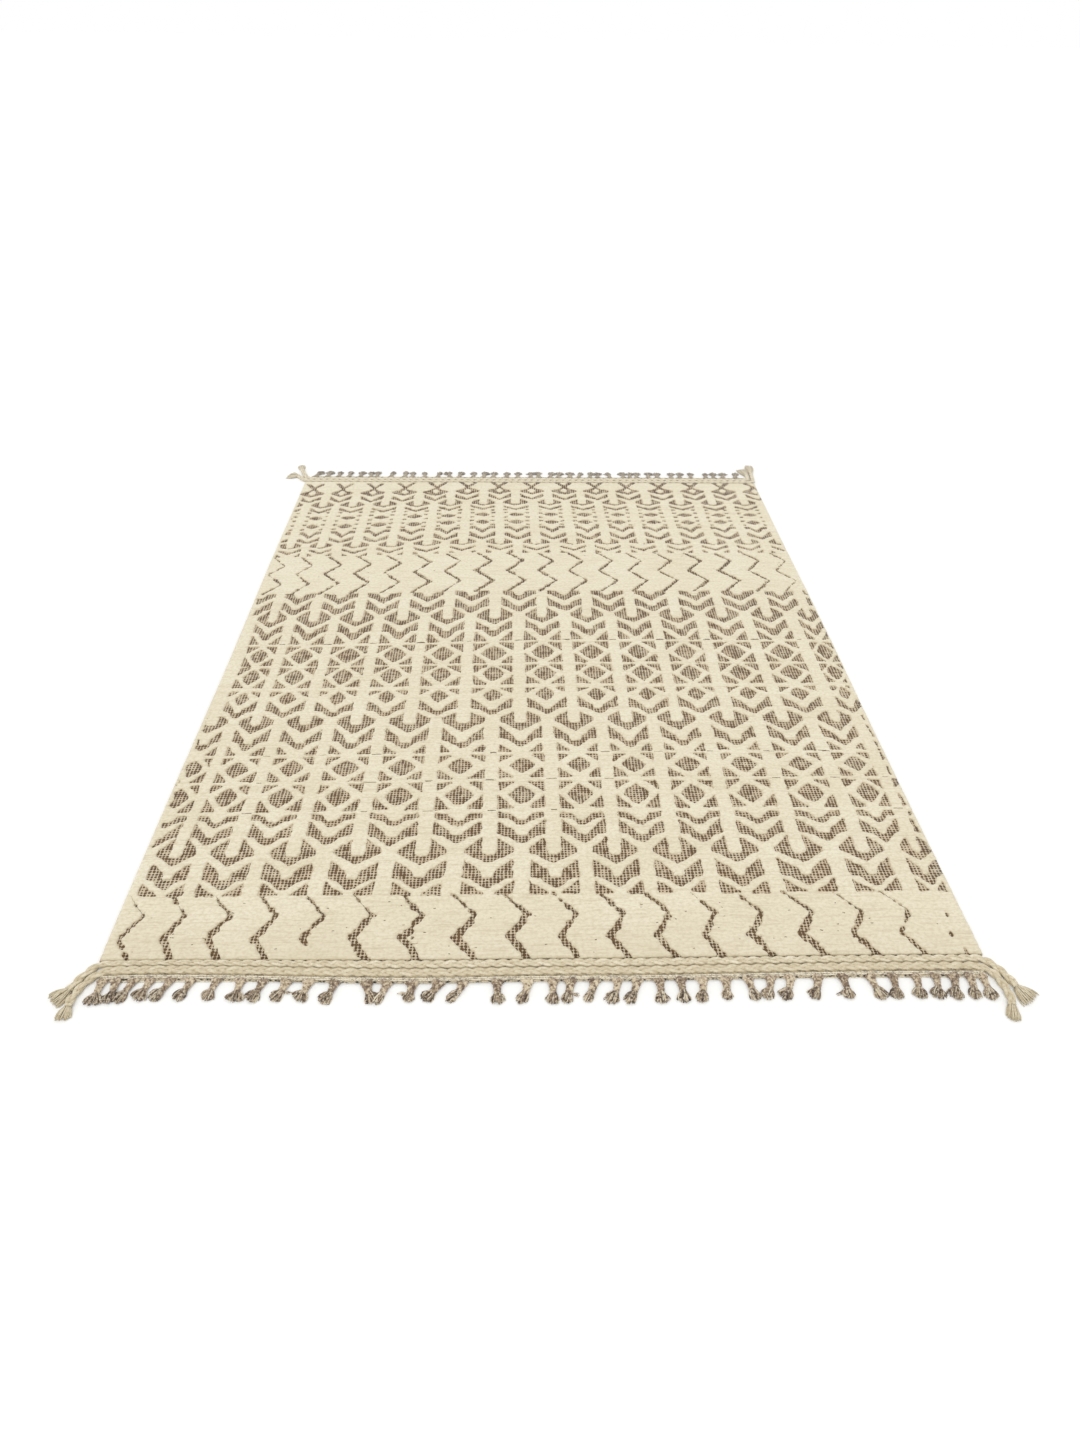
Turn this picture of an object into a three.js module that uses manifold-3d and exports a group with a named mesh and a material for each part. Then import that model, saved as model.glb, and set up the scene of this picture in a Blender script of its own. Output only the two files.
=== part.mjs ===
// Hand-knotted high-low pile wool rug, laid flat. Units are millimetres and +Z is up.
// The rug lies on z = 0 with its length along y, and the middle of its field is the origin.
// Ivory cut pile stands over a low flat-woven ground. Two plaited cords and a fringe of
// plaited tassels finish each end, and the cords run on as loose tails at the corners.

import * as THREE from 'three';
import { mergeVertices } from 'three/addons/utils/BufferGeometryUtils.js';
import Module from 'manifold-3d';

const wasm = await Module();
wasm.setup();

// Field
const FIELD_WIDTH = 2440;
const FIELD_LENGTH = 3050;
const GROUND_HEIGHT = 5;
const PILE_HEIGHT = 10;
const PILE_ROOT = 4;
const END_LIP = 3;
const SELVAGE_TUCK = 2;
const SIDE_MARGIN = 12;
const EDGE_WAVE = 3;
const EDGE_TURNS = 9;
const EDGE_STEPS = 10;
const LEAST_AREA = 200;
const OVERCUT = 1;

// End finish, outward from the field: inner cord, outer cord, heading strip, tassels
const CLEARANCE = 0.3;
const INNER_CORD_WIDTH = 24;
const OUTER_CORD_WIDTH = 26;
const CORD_HEIGHT = 14;
const TAIL_WIDTH = 21;
const TAIL_STEP = 12;
const TAIL_BULGE = 0.07;
const BRUSH_END_SHARE = 0.6;
const HEADING_WIDTH = 18;
const HEADING_HEIGHT = 8;

// Tassels
const TASSEL_LENGTH = 64;
const TASSEL_CURL = 1.3;

const INNER_CORD_OUT = END_LIP + CLEARANCE + INNER_CORD_WIDTH / 2;
const OUTER_CORD_OUT = INNER_CORD_OUT + INNER_CORD_WIDTH / 2 + CLEARANCE + OUTER_CORD_WIDTH / 2;
const HEADING_OUT = OUTER_CORD_OUT + OUTER_CORD_WIDTH / 2 + CLEARANCE + HEADING_WIDTH / 2;
const TASSEL_OUT = HEADING_OUT + HEADING_WIDTH / 2;

const IVORY = new THREE.MeshStandardMaterial({ color: 0xe6dcc0, roughness: 0.95, metalness: 0 });
const CORD_IVORY = new THREE.MeshStandardMaterial({ color: 0xd9cfb4, roughness: 0.95, metalness: 0 });
const TAUPE = new THREE.MeshStandardMaterial({ color: 0x8a7762, roughness: 0.97, metalness: 0 });

// Pattern bands. "down" is measured from the far end of the field and "across" from the middle
// of a column. Every second column is shifted by half a pitch, so a motif names column 0 or 1.
const PRONG_BAND = { pitch: 169, first: -1158, half: 60, bar: 23 };
const LATTICE_BAND = { pitch: 193.2, first: -1025, half: 68, bar: 22 };
const ZIGZAG_BAND = { pitch: 138.2, first: -1147, count: 17 };

const PRONG_MOTIFS = [
  { column: 0, kind: 'ring', top: 55, middle: 114, foot: 152, eyeMiddle: 108, eye: 40 },
  { column: 0, kind: 'chevron', sideTop: 145, sideFoot: 182, pointTop: 198, pointFoot: 220 },
  { column: 1, kind: 'cuff', top: 202, corner: 236, end: 252, foot: 274, reach: 57 },
  { column: 1, kind: 'diamond', middle: 382, width: 62, height: 42 },
  { column: 1, kind: 'diamond', middle: 463, width: 62, height: 42 },
  { column: 1, kind: 'chevron', sideTop: 560, sideFoot: 605, pointTop: 618, pointFoot: 643 },
  { column: 0, kind: 'cuff', top: 625, corner: 663, end: 675, foot: 696, reach: 56 },
];

const LATTICE_MOTIFS = [
  { column: 0, kind: 'chevron', sideTop: 1128, sideFoot: 1155, pointTop: 1168, pointFoot: 1203, level: 22 },
  { column: 0, kind: 'chevron', sideTop: 1172, sideFoot: 1240, pointTop: 1248, pointFoot: 1288 },
  { column: 1, kind: 'cuff', top: 1258, corner: 1318, end: 1348, foot: 1381, reach: 63 },
  { column: 1, kind: 'chevron', sideTop: 1362, sideFoot: 1410, pointTop: 1429, pointFoot: 1472 },
  { column: 1, kind: 'corners', base: 1503, tip: 1440, width: 46 },
  { column: 1, kind: 'corners', base: 1525, tip: 1580, width: 46 },
  { column: 1, kind: 'diamond', middle: 1597, width: 90, height: 102 },
  { column: 1, kind: 'corners', base: 1660, tip: 1608, width: 46 },
  { column: 1, kind: 'corners', base: 1679, tip: 1725, width: 42 },
  { column: 1, kind: 'diamond', middle: 1736, width: 90, height: 92 },
  { column: 1, kind: 'corners', base: 1801, tip: 1748, width: 46 },
  { column: 1, kind: 'diamond', middle: 1873, width: 70, height: 72 },
  { column: 1, kind: 'chevron', sideTop: 1889, sideFoot: 1940, pointTop: 1955, pointFoot: 1982 },
  { column: 0, kind: 'cuff', top: 1970, corner: 2012, end: 2036, foot: 2079, reach: 65 },
  { column: 0, kind: 'chevron', sideTop: 2064, sideFoot: 2120, pointTop: 2137, pointFoot: 2173 },
  { column: 0, kind: 'corners', base: 2193, tip: 2150, width: 43 },
  { column: 0, kind: 'diamond', middle: 2264, width: 86, height: 76 },
  { column: 0, kind: 'corners', base: 2328, tip: 2276, width: 44 },
  { column: 0, kind: 'corners', base: 2345, tip: 2385, width: 46 },
  { column: 0, kind: 'diamond', middle: 2410, width: 88, height: 88 },
  { column: 0, kind: 'corners', base: 2471, tip: 2413, width: 46 },
  { column: 0, kind: 'chevron', sideTop: 2489, sideFoot: 2512, pointTop: 2521, pointFoot: 2546 },
  { column: 0, kind: 'chevron', sideTop: 2529, sideFoot: 2586, pointTop: 2597, pointFoot: 2626 },
  { column: 1, kind: 'cuff', top: 2600, corner: 2655, end: 2671, foot: 2708, reach: 65 },
  { column: 1, kind: 'chevron', sideTop: 2690, sideFoot: 2760, pointTop: 2767, pointFoot: 2803 },
  { column: 1, kind: 'corners', base: 2825, tip: 2779, width: 46 },
];

// Zigzag channels, one row for each turn: how far left of the right-hand turns, and how wide
const FAR_ZIGZAG = [
  { down: 786, left: 64, width: 9 },
  { down: 852, left: 0, width: 9 },
  { down: 942, left: 68, width: 9 },
  { down: 1032, left: -10, width: 9 },
  { down: 1118, left: 64, width: 9 },
];
const NEAR_ZIGZAG = [
  { down: 2836, left: 57, width: 9 },
  { down: 2914, left: 0, width: 13 },
  { down: 2986, left: 46, width: 16 },
  { down: 3042, left: 8, width: 16 },
];

// The knotting wanders. Rows lag from "start" towards the left, by "lag" a reach further on.
const LAG_ROWS = [
  { down: 0, lag: 38, start: -280 },
  { down: 110, lag: 45, start: -280 },
  { down: 270, lag: 46, start: -280 },
  { down: 463, lag: 64, start: -280 },
  { down: 650, lag: 52, start: -280 },
  { down: 760, lag: 50, start: -280 },
  { down: 852, lag: 60, start: -280 },
  { down: 945, lag: 44, start: -280 },
  { down: 1040, lag: 42, start: -280 },
  { down: 1125, lag: 35, start: -150 },
  { down: 1512, lag: 36, start: 0 },
  { down: 1670, lag: 26, start: 0 },
  { down: 1813, lag: 30, start: 0 },
  { down: 2064, lag: 14, start: 0 },
  { down: 2202, lag: 18, start: 0 },
  { down: 2336, lag: 18, start: 0 },
  { down: 2480, lag: 10, start: 0 },
  { down: 2640, lag: 3, start: 0 },
  { down: 2828, lag: 0, start: 0 },
];
const LAG_REACH = 900;
const LAG_POWER = 0.75;

// Columns drift: how far right of its charted place each one lies, on the row at each "down"
const DRIFT_ACROSS = [
  -1220, -1120, -1000, -820, -640, -460, -300, -140, 30, 200, 380, 540, 700, 870, 1060, 1200,
];
const DRIFT_ROWS = [
  { down: 100, drift: [2, 0, -14, -20, -24, -26, -27, -29, -24, -20, -20, -20, -12, -5, -10, -6] },
  { down: 480, drift: [0, -10, -25, -30, -29, -24, -25, -22, -15, -12, -8, -5, -2, 0, -2, -5] },
  { down: 700, drift: [4, -5, -28, -34, -33, -31, -27, -14, -13, 0, -6, 0, 6, 10, 9, 0] },
  { down: 850, drift: [3, 0, -15, -22, -24, -25, -24, -12, -8, -5, -4, -8, -4, 0, 0, -15] },
  { down: 1600, drift: [40, 17, -4, -14, -23, -27, -27, -19, -10, -9, -10, -13, -12, -6, -2, -24] },
  { down: 2250, drift: [35, 8, -11, -18, -29, -28, -24, -10, 0, -1, -4, -9, -10, -4, 3, -20] },
  { down: 2650, drift: [15, -4, -22, -32, -37, -28, -20, -10, -1, -5, -10, -15, -18, -5, 0, -28] },
  { down: 2914, drift: [0, 0, -26, -35, -40, -42, -36, -14, -6, -4, -11, -17, -15, 0, 0, -33] },
];

// Loose tails of the cords. "side" is past the side edge and "out" past the end of the field.
const CORDS = [
  {
    name: 'near_inner_cord', end: -1, out: INNER_CORD_OUT, width: INNER_CORD_WIDTH,
    left: [
      { side: 4, out: 22 }, { side: 18, out: 40 }, { side: 30, out: 64 }, { side: 42, out: 88 },
      { side: 52, out: 106 }, { side: 62, out: 124, width: 31 }, { side: 73, out: 146, width: 42 },
    ],
    right: [
      { side: 4, out: 24 }, { side: 17, out: 42 }, { side: 28, out: 64 }, { side: 39, out: 86 },
      { side: 48, out: 106 }, { side: 57, out: 124, width: 34 }, { side: 68, out: 148, width: 47 },
    ],
  },
  {
    name: 'near_outer_cord', end: -1, out: OUTER_CORD_OUT, width: OUTER_CORD_WIDTH,
    left: [
      { side: -9, out: 47 }, { side: 2, out: 62 }, { side: 12, out: 82 }, { side: 20, out: 103 },
      { side: 26, out: 122 }, { side: 31, out: 150, width: 31 }, { side: 36, out: 183, width: 40 },
    ],
    right: [
      { side: -11, out: 48 }, { side: -1, out: 64 }, { side: 7, out: 88 }, { side: 11, out: 112 },
      { side: 13, out: 138 }, { side: 10, out: 165, width: 29 }, { side: 2, out: 200, width: 36 },
    ],
  },
  {
    name: 'far_inner_cord', end: 1, out: INNER_CORD_OUT, width: INNER_CORD_WIDTH,
    left: [
      { side: 4, out: 22 }, { side: 20, out: 36 }, { side: 40, out: 48 }, { side: 60, out: 60 },
      { side: 76, out: 75 }, { side: 88, out: 94, width: 30 }, { side: 96, out: 118, width: 39 },
    ],
    right: [
      { side: 3, out: 23 }, { side: 11, out: 42 }, { side: 14, out: 66 }, { side: 16, out: 92 },
      { side: 18, out: 118 }, { side: 20, out: 144 }, { side: 24, out: 168, width: 27 },
      { side: 30, out: 196, width: 36 },
    ],
  },
  {
    name: 'far_outer_cord', end: 1, out: OUTER_CORD_OUT, width: OUTER_CORD_WIDTH,
    left: [
      { side: -9, out: 47 }, { side: 3, out: 62 }, { side: 14, out: 84 }, { side: 25, out: 108 },
      { side: 36, out: 134 }, { side: 45, out: 158 }, { side: 52, out: 182, width: 28 },
      { side: 57, out: 206, width: 36 },
    ],
    right: [
      { side: -26, out: 46 }, { side: -17, out: 61 }, { side: -13, out: 84 }, { side: -11, out: 108 },
      { side: -10, out: 132 }, { side: -11, out: 156, width: 25 }, { side: -11, out: 182, width: 33 },
    ],
  },
];

// Each end's fringe: where the heading strip starts and ends, and its tassels from left to
// right, each as [where its root lies across the rug, how far to the side its brush lies]
const FRINGES = [
  {
    name: 'near_fringe', end: -1, startSide: -20, endSide: -19,
    tassels: [
      [-1190, -5], [-1153, 3], [-1109, -23], [-1063, -19], [-1011, -27], [-955, -21], [-888, -13],
      [-822, -4], [-763, -19], [-699, -23], [-640, -17], [-570, -18], [-484, 23], [-430, -23],
      [-361, -8], [-292, -32], [-226, -31], [-134, 2], [-51, -17], [16, -2], [64, -15], [128, -23],
      [191, -19], [243, -25], [305, 0], [362, 4], [422, -10], [485, -5], [547, 10], [607, -18],
      [662, -27], [737, -23], [807, 3], [882, 15], [945, -10], [1008, -9], [1062, -13], [1111, -18],
      [1157, -10], [1190, 5],
    ],
  },
  {
    name: 'far_fringe', end: 1, startSide: -20, endSide: -38,
    tassels: [
      [-1177, 22], [-1114, 11], [-1053, 3], [-997, 6], [-934, 4], [-877, -4], [-845, 3], [-768, 8],
      [-693, 2], [-650, -3], [-583, -8], [-511, 5], [-447, -14], [-395, 10], [-318, 4], [-262, 12],
      [-209, 10], [-135, 4], [-74, 3], [-3, 5], [42, -7], [105, 12], [150, 10], [214, 4], [262, 14],
      [325, 6], [366, 5], [433, -5], [510, -4], [545, 6], [583, 5], [647, 9], [697, 5], [774, 5],
      [820, 13], [883, 5], [966, 7], [1010, 6], [1062, 9], [1131, 10],
    ],
  },
];

// One tassel: a plaited stem, its tie, and the cut brush that opens below it
const TASSEL_PROFILE = [
  { out: -6, width: 20, height: 7 },
  { out: 12, width: 17, height: 11 },
  { out: 32, width: 15, height: 11 },
  { out: 50, width: 34, height: 12 },
  { out: 64, width: 38, height: 6 },
];

function interpolate(rows, at, key, value) {
  const last = rows[rows.length - 1];
  if (at <= rows[0][key]) return rows[0][value];
  if (at >= last[key]) return last[value];
  const next = rows.findIndex((row) => row[key] > at);
  const low = rows[next - 1];
  const high = rows[next];
  const share = (at - low[key]) / (high[key] - low[key]);
  return low[value] + share * (high[value] - low[value]);
}

// Where a charted point really lies, after the lag of its row and the drift of its column
function wander(across, down) {
  const start = interpolate(LAG_ROWS, down, 'down', 'start');
  const share = THREE.MathUtils.clamp((start - across) / LAG_REACH, 0, 1) ** LAG_POWER;
  const lag = interpolate(LAG_ROWS, down, 'down', 'lag') * share;
  const byRow = DRIFT_ROWS.map((row) => {
    const columns = DRIFT_ACROSS.map((place, index) => ({ place, drift: row.drift[index] }));
    return { down: row.down, drift: interpolate(columns, across, 'place', 'drift') };
  });
  const drift = interpolate(byRow, down, 'down', 'drift');
  return new THREE.Vector2(across + drift, FIELD_LENGTH / 2 - down - lag);
}

function mirrored(half) {
  const other = half.filter((point) => point[0] > 0).map(([across, down]) => [-across, down]);
  return [...half, ...other.reverse()];
}

// Low areas that the pile leaves open. Each returns outlines as [across, down] pairs.
const MOTIFS = {
  chevron(motif, band) {
    const shoulder = motif.level ? [[motif.level, motif.sideTop]] : [];
    return [mirrored([
      [0, motif.pointTop], ...shoulder,
      [band.half, motif.sideTop], [band.half, motif.sideFoot], [0, motif.pointFoot],
    ])];
  },
  cuff(motif, band) {
    return [mirrored([
      [band.bar, motif.end], [band.bar, motif.top], [motif.reach, motif.corner], [0, motif.foot],
    ])];
  },
  diamond(motif) {
    const rise = motif.height / 2;
    return [mirrored([
      [0, motif.middle - rise], [motif.width / 2, motif.middle], [0, motif.middle + rise],
    ])];
  },
  corners(motif, band) {
    const inner = band.half - motif.width;
    const right = [[band.half, motif.base], [band.half, motif.tip], [inner, motif.base]];
    return [right, right.map(([across, down]) => [-across, down])];
  },
  ring(motif, band) {
    return [mirrored([[0, motif.top], [band.half, motif.middle], [0, motif.foot]])];
  },
};

// Keeps an outline inside the plain pile along the side edges
function trimmed(outline) {
  const limit = FIELD_WIDTH / 2 - SIDE_MARGIN;
  let points = outline;
  for (const side of [-1, 1]) {
    const inside = (point) => side * point.x <= limit;
    const kept = [];
    points.forEach((point, index) => {
      const before = points[(index + points.length - 1) % points.length];
      if (inside(point) !== inside(before)) {
        const share = (side * limit - before.x) / (point.x - before.x);
        kept.push(before.clone().lerp(point, share));
      }
      if (inside(point)) kept.push(point);
    });
    points = kept;
  }
  return points;
}

function bandOutlines(band, motifs) {
  const outlines = [];
  for (const motif of motifs) {
    for (let index = -1; index < FIELD_WIDTH / band.pitch + 1; index += 1) {
      const middle = band.first + (index + motif.column / 2) * band.pitch;
      for (const outline of MOTIFS[motif.kind](motif, band)) {
        outlines.push(trimmed(outline.map(([across, down]) => wander(middle + across, down))));
      }
    }
  }
  return outlines;
}

// A channel slants by 45 degrees, which sets how far its two edges lie apart along a row
function zigzagOutlines(rows) {
  const outlines = [];
  for (let index = 0; index < ZIGZAG_BAND.count; index += 1) {
    const turn = ZIGZAG_BAND.first + index * ZIGZAG_BAND.pitch;
    const edge = (side) => rows.map((row) => (
      wander(turn - row.left + side * row.width * Math.SQRT1_2, row.down)
    ));
    outlines.push(trimmed([...edge(1), ...edge(-1).reverse()]));
  }
  return outlines;
}

function bodyOf(geometry) {
  const bare = geometry.clone();
  bare.deleteAttribute('normal');
  bare.deleteAttribute('uv');
  const merged = mergeVertices(bare);
  const mesh = new wasm.Mesh({
    numProp: 3,
    vertProperties: new Float32Array(merged.attributes.position.array),
    triVerts: new Uint32Array(merged.index.array),
  });
  return new wasm.Manifold(mesh);
}

function geometryOf(body) {
  const mesh = body.getMesh();
  const geometry = new THREE.BufferGeometry();
  geometry.setAttribute('position', new THREE.BufferAttribute(mesh.vertProperties, 3));
  geometry.setIndex(new THREE.BufferAttribute(mesh.triVerts, 1));
  geometry.computeVertexNormals();
  return geometry;
}

// The side edges swing in and out a little, as a hand-beaten weft leaves them
function fieldOutline(inset, endReach) {
  const points = [];
  for (const side of [1, -1]) {
    for (let step = 0; step <= EDGE_STEPS; step += 1) {
      const along = side * (step / EDGE_STEPS - 0.5);
      const wave = EDGE_WAVE * Math.sin(EDGE_TURNS * along + side) * Math.cos(Math.PI * along);
      const half = FIELD_WIDTH / 2 - inset + wave;
      points.push(new THREE.Vector2(side * half, along * (FIELD_LENGTH + 2 * endReach)));
    }
  }
  return points;
}

function raised(shapes, base, top) {
  const geometry = new THREE.ExtrudeGeometry(shapes, { depth: top - base, bevelEnabled: false });
  return geometry.translate(0, 0, base);
}

// The pile is one slab, and the low areas are sunk into it down to the flat-woven ground
function fieldGeometry() {
  const low = [
    ...bandOutlines(PRONG_BAND, PRONG_MOTIFS),
    ...bandOutlines(LATTICE_BAND, LATTICE_MOTIFS),
    ...zigzagOutlines(FAR_ZIGZAG),
    ...zigzagOutlines(NEAR_ZIGZAG),
  ].filter((outline) => Math.abs(THREE.ShapeUtils.area(outline)) > LEAST_AREA);
  const ring = PRONG_MOTIFS.find((motif) => motif.kind === 'ring');
  const eye = { column: 0, kind: 'diamond', middle: ring.eyeMiddle, width: ring.eye, height: ring.eye };
  const eyes = bandOutlines(PRONG_BAND, [eye])
    .filter((outline) => Math.abs(THREE.ShapeUtils.area(outline)) > LEAST_AREA);
  const shapes = (outlines) => outlines.map((outline) => new THREE.Shape(outline));
  const sunk = bodyOf(raised(shapes(low), GROUND_HEIGHT, PILE_HEIGHT + OVERCUT))
    .subtract(bodyOf(raised(shapes(eyes), PILE_ROOT, PILE_HEIGHT + 2 * OVERCUT)));
  const ground = bodyOf(raised(new THREE.Shape(fieldOutline(SELVAGE_TUCK, END_LIP)), 0, GROUND_HEIGHT));
  const pile = bodyOf(raised(new THREE.Shape(fieldOutline(0, 0)), PILE_ROOT, PILE_HEIGHT));
  return geometryOf(ground.add(pile.subtract(sunk)));
}

// A solid lofted through a row of stations. Every section stands on the floor, level at its foot.
function loft(stations, section) {
  const sides = section.length;
  const position = [];
  const index = [];
  stations.forEach((station) => {
    const sine = Math.sin(station.heading);
    const cosine = Math.cos(station.heading);
    section.forEach(([across, up]) => {
      const reach = across * station.width;
      position.push(station.x - sine * reach, station.y + cosine * reach, up * station.height);
    });
  });
  for (let ring = 0; ring < stations.length - 1; ring += 1) {
    for (let side = 0; side < sides; side += 1) {
      const a = ring * sides + side;
      const b = ring * sides + (side + 1) % sides;
      index.push(a, b, b + sides, a, b + sides, a + sides);
    }
  }
  const end = (stations.length - 1) * sides;
  for (let side = 1; side < sides - 1; side += 1) {
    index.push(0, side + 1, side);
    index.push(end, end + side, end + side + 1);
  }
  const geometry = new THREE.BufferGeometry();
  geometry.setAttribute('position', new THREE.Float32BufferAttribute(position, 3));
  geometry.setIndex(index);
  geometry.computeVertexNormals();
  return geometry;
}

// Sections as [share of the width, share of the height]. A cord is widest where it meets
// the edge of the ground, and both kinds stand flat on the floor.
const CORD_SECTION = [[0.3, 0], [0.5, 0.3], [0.28, 1], [-0.28, 1], [-0.5, 0.3], [-0.3, 0]];
const TASSEL_SECTION = [[0.5, 0], [0.36, 1], [-0.36, 1], [-0.5, 0]];

// Stations along a tail, from the corner to the cut end of its brush
function tailStations(cord, rows, side) {
  const corner = new THREE.Vector2(side * FIELD_WIDTH / 2, cord.end * FIELD_LENGTH / 2);
  const points = rows.map((row) => new THREE.Vector3(
    corner.x + side * row.side, corner.y + cord.end * row.out, row.width ?? TAIL_WIDTH,
  ));
  const curve = new THREE.CatmullRomCurve3(points);
  const steps = Math.round(curve.getLength() / TAIL_STEP);
  const stations = [];
  for (let step = 0; step <= steps; step += 1) {
    const at = curve.getPointAt(step / steps);
    const tangent = curve.getTangentAt(step / steps);
    const bulge = 1 + TAIL_BULGE * (step % 2 === 0 ? -1 : 1);
    stations.push({
      x: at.x, y: at.y, heading: Math.atan2(tangent.y, tangent.x),
      width: at.z * bulge, height: CORD_HEIGHT * (step === steps ? BRUSH_END_SHARE : 1),
    });
  }
  return stations;
}

function cordGeometry(cord) {
  const y = cord.end * (FIELD_LENGTH / 2 + cord.out);
  const leftTail = tailStations(cord, cord.left, -1).reverse();
  const rightTail = tailStations(cord, cord.right, 1);
  for (const station of leftTail) station.heading += Math.PI;
  const runStart = { x: leftTail[leftTail.length - 1].x + cord.width, y, heading: 0 };
  const runEnd = { x: rightTail[0].x - cord.width, y, heading: 0 };
  const run = [runStart, runEnd].map((at) => ({ ...at, width: cord.width, height: CORD_HEIGHT }));
  return loft([...leftTail, ...run, ...rightTail], CORD_SECTION);
}

function tasselStations(fringe, root, sway) {
  const endOut = FIELD_LENGTH / 2 + TASSEL_OUT;
  return TASSEL_PROFILE.map((row) => {
    const along = Math.max(row.out, 0) / TASSEL_LENGTH;
    return {
      x: root + sway * along ** TASSEL_CURL,
      y: fringe.end * (endOut + row.out),
      heading: fringe.end * Math.PI / 2,
      width: row.width,
      height: row.height,
    };
  });
}

// The heading strip with its tassels fused to it at the roots
function fringeGeometry(fringe) {
  const start = -FIELD_WIDTH / 2 - fringe.startSide;
  const finish = FIELD_WIDTH / 2 + fringe.endSide;
  const heading = new THREE.BoxGeometry(finish - start, HEADING_WIDTH, HEADING_HEIGHT);
  heading.translate((start + finish) / 2, fringe.end * (FIELD_LENGTH / 2 + HEADING_OUT), HEADING_HEIGHT / 2);
  let body = bodyOf(heading);
  for (const [root, sway] of fringe.tassels) {
    body = body.add(bodyOf(loft(tasselStations(fringe, root, sway), TASSEL_SECTION)));
  }
  return geometryOf(body);
}

function piece(name, geometry, material) {
  const mesh = new THREE.Mesh(geometry, material);
  mesh.name = name;
  return mesh;
}

const group = new THREE.Group();
group.add(piece('rug_field', fieldGeometry(), IVORY));
for (const cord of CORDS) group.add(piece(cord.name, cordGeometry(cord), CORD_IVORY));
for (const fringe of FRINGES) group.add(piece(fringe.name, fringeGeometry(fringe), TAUPE));

export default group;
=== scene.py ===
import math

import bpy
import numpy as np
from mathutils import Matrix, Vector


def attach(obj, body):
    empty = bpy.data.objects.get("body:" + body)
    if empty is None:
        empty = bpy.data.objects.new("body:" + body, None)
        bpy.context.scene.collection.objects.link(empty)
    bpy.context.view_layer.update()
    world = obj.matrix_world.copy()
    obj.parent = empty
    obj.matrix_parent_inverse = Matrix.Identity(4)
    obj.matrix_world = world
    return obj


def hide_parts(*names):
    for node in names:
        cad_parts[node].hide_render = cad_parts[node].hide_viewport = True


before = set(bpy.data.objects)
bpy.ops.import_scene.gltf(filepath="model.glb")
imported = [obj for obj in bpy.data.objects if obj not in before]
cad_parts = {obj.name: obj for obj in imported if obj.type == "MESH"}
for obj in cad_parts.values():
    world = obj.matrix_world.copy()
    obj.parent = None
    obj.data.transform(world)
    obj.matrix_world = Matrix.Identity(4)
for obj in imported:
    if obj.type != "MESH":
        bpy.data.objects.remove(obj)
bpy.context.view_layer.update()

# Camera
# The photograph looks down the rug from past its near end, a little left of its middle.
# The eye is at standing height, and the whole rug lies in the middle of a tall frame.

# the eye's place, in the frame's metres
EYE = Vector((-0.076, -2.967, 2.055))
LOOK_DOWN = math.radians(39.65)
LOOK_RIGHT = math.radians(1.87)
CAMERA_ROLL = math.radians(1.03)
# the photograph's focal length and height in its own pixels
PHOTO_FOCAL = 876.2
PHOTO_TALL = 1440
FILM_MM = 36
SEEN_TO = 200

camera = bpy.data.cameras.new("camera")
camera.sensor_width = FILM_MM
camera.lens = PHOTO_FOCAL / PHOTO_TALL * FILM_MM
camera.clip_end = SEEN_TO
camera_rig = bpy.data.objects.new("camera", camera)
bpy.context.scene.collection.objects.link(camera_rig)
ahead = Vector((
    math.sin(LOOK_RIGHT) * math.cos(LOOK_DOWN),
    math.cos(LOOK_RIGHT) * math.cos(LOOK_DOWN),
    -math.sin(LOOK_DOWN),
))
level = Vector((math.cos(LOOK_RIGHT), -math.sin(LOOK_RIGHT), 0))
above = level.cross(ahead)
rightward = level * math.cos(CAMERA_ROLL) + above * math.sin(CAMERA_ROLL)
upward = above * math.cos(CAMERA_ROLL) - level * math.sin(CAMERA_ROLL)
camera_rig.matrix_world = Matrix.Translation(EYE) @ Matrix((rightward, upward, -ahead)).transposed().to_4x4()
bpy.context.scene.camera = camera_rig

# Ground cloth
# The flat-woven wool that carries the knots, in undyed brown and ivory yarn.
# It shows wherever the pile is left out, and as a thin brown seam past the pile's two ends.

# sizes are in millimetres, and MM turns them to the frame's metres
MM = 0.001
FIELD_WIDE = 2440
FIELD_LONG = 3050
GROUND_TOP = 5
END_LIP = 3
GROUND_CELL = 40
# the side edges swing in and out by EDGE_WAVE, as a sine over EDGE_RADIANS from end to end,
# and the cloth is stretched to them past WAVE_FROM
EDGE_WAVE = 3
EDGE_RADIANS = 9
WAVE_FROM = 900
# hand-made unevenness: (most either way, distance between bumps, seed)
GROUND_ROLL = (0.35, 45, 3)
# a finish is laid out on a plan a little larger than the cloth
PLAN_ROOM = 1.02

# How far the near end's cords and tassels are drawn in toward the pile: (across, amount).
# The cloth is drawn in with them, from nothing at DRAWN_FROM to about half as much at its end.
NEAR_DRAWN_IN = [
    (-1275, 0), (-1250, 4), (-1218, 10), (-1150, 13), (-1060, 14), (-975, 13), (-825, 9),
    (-675, 4), (-525, -1), (-375, -4), (-225, -4), (-75, -2), (75, -2), (225, -3.5), (400, -2),
    (600, 0), (825, 2), (975, 2), (1125, 1), (1215, 0),
]
DRAWN_FROM = 1290
DRAWN_AT_END = 0.45
DRAWN_FULL = 1553


def edge_wave(side, y):
    """How far the edge on one side, -1 or 1, swings out at a place along the rug."""
    along = y / FIELD_LONG
    return EDGE_WAVE * np.sin(EDGE_RADIANS * along + side) * np.cos(math.pi * np.clip(along, -0.5, 0.5))


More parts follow.
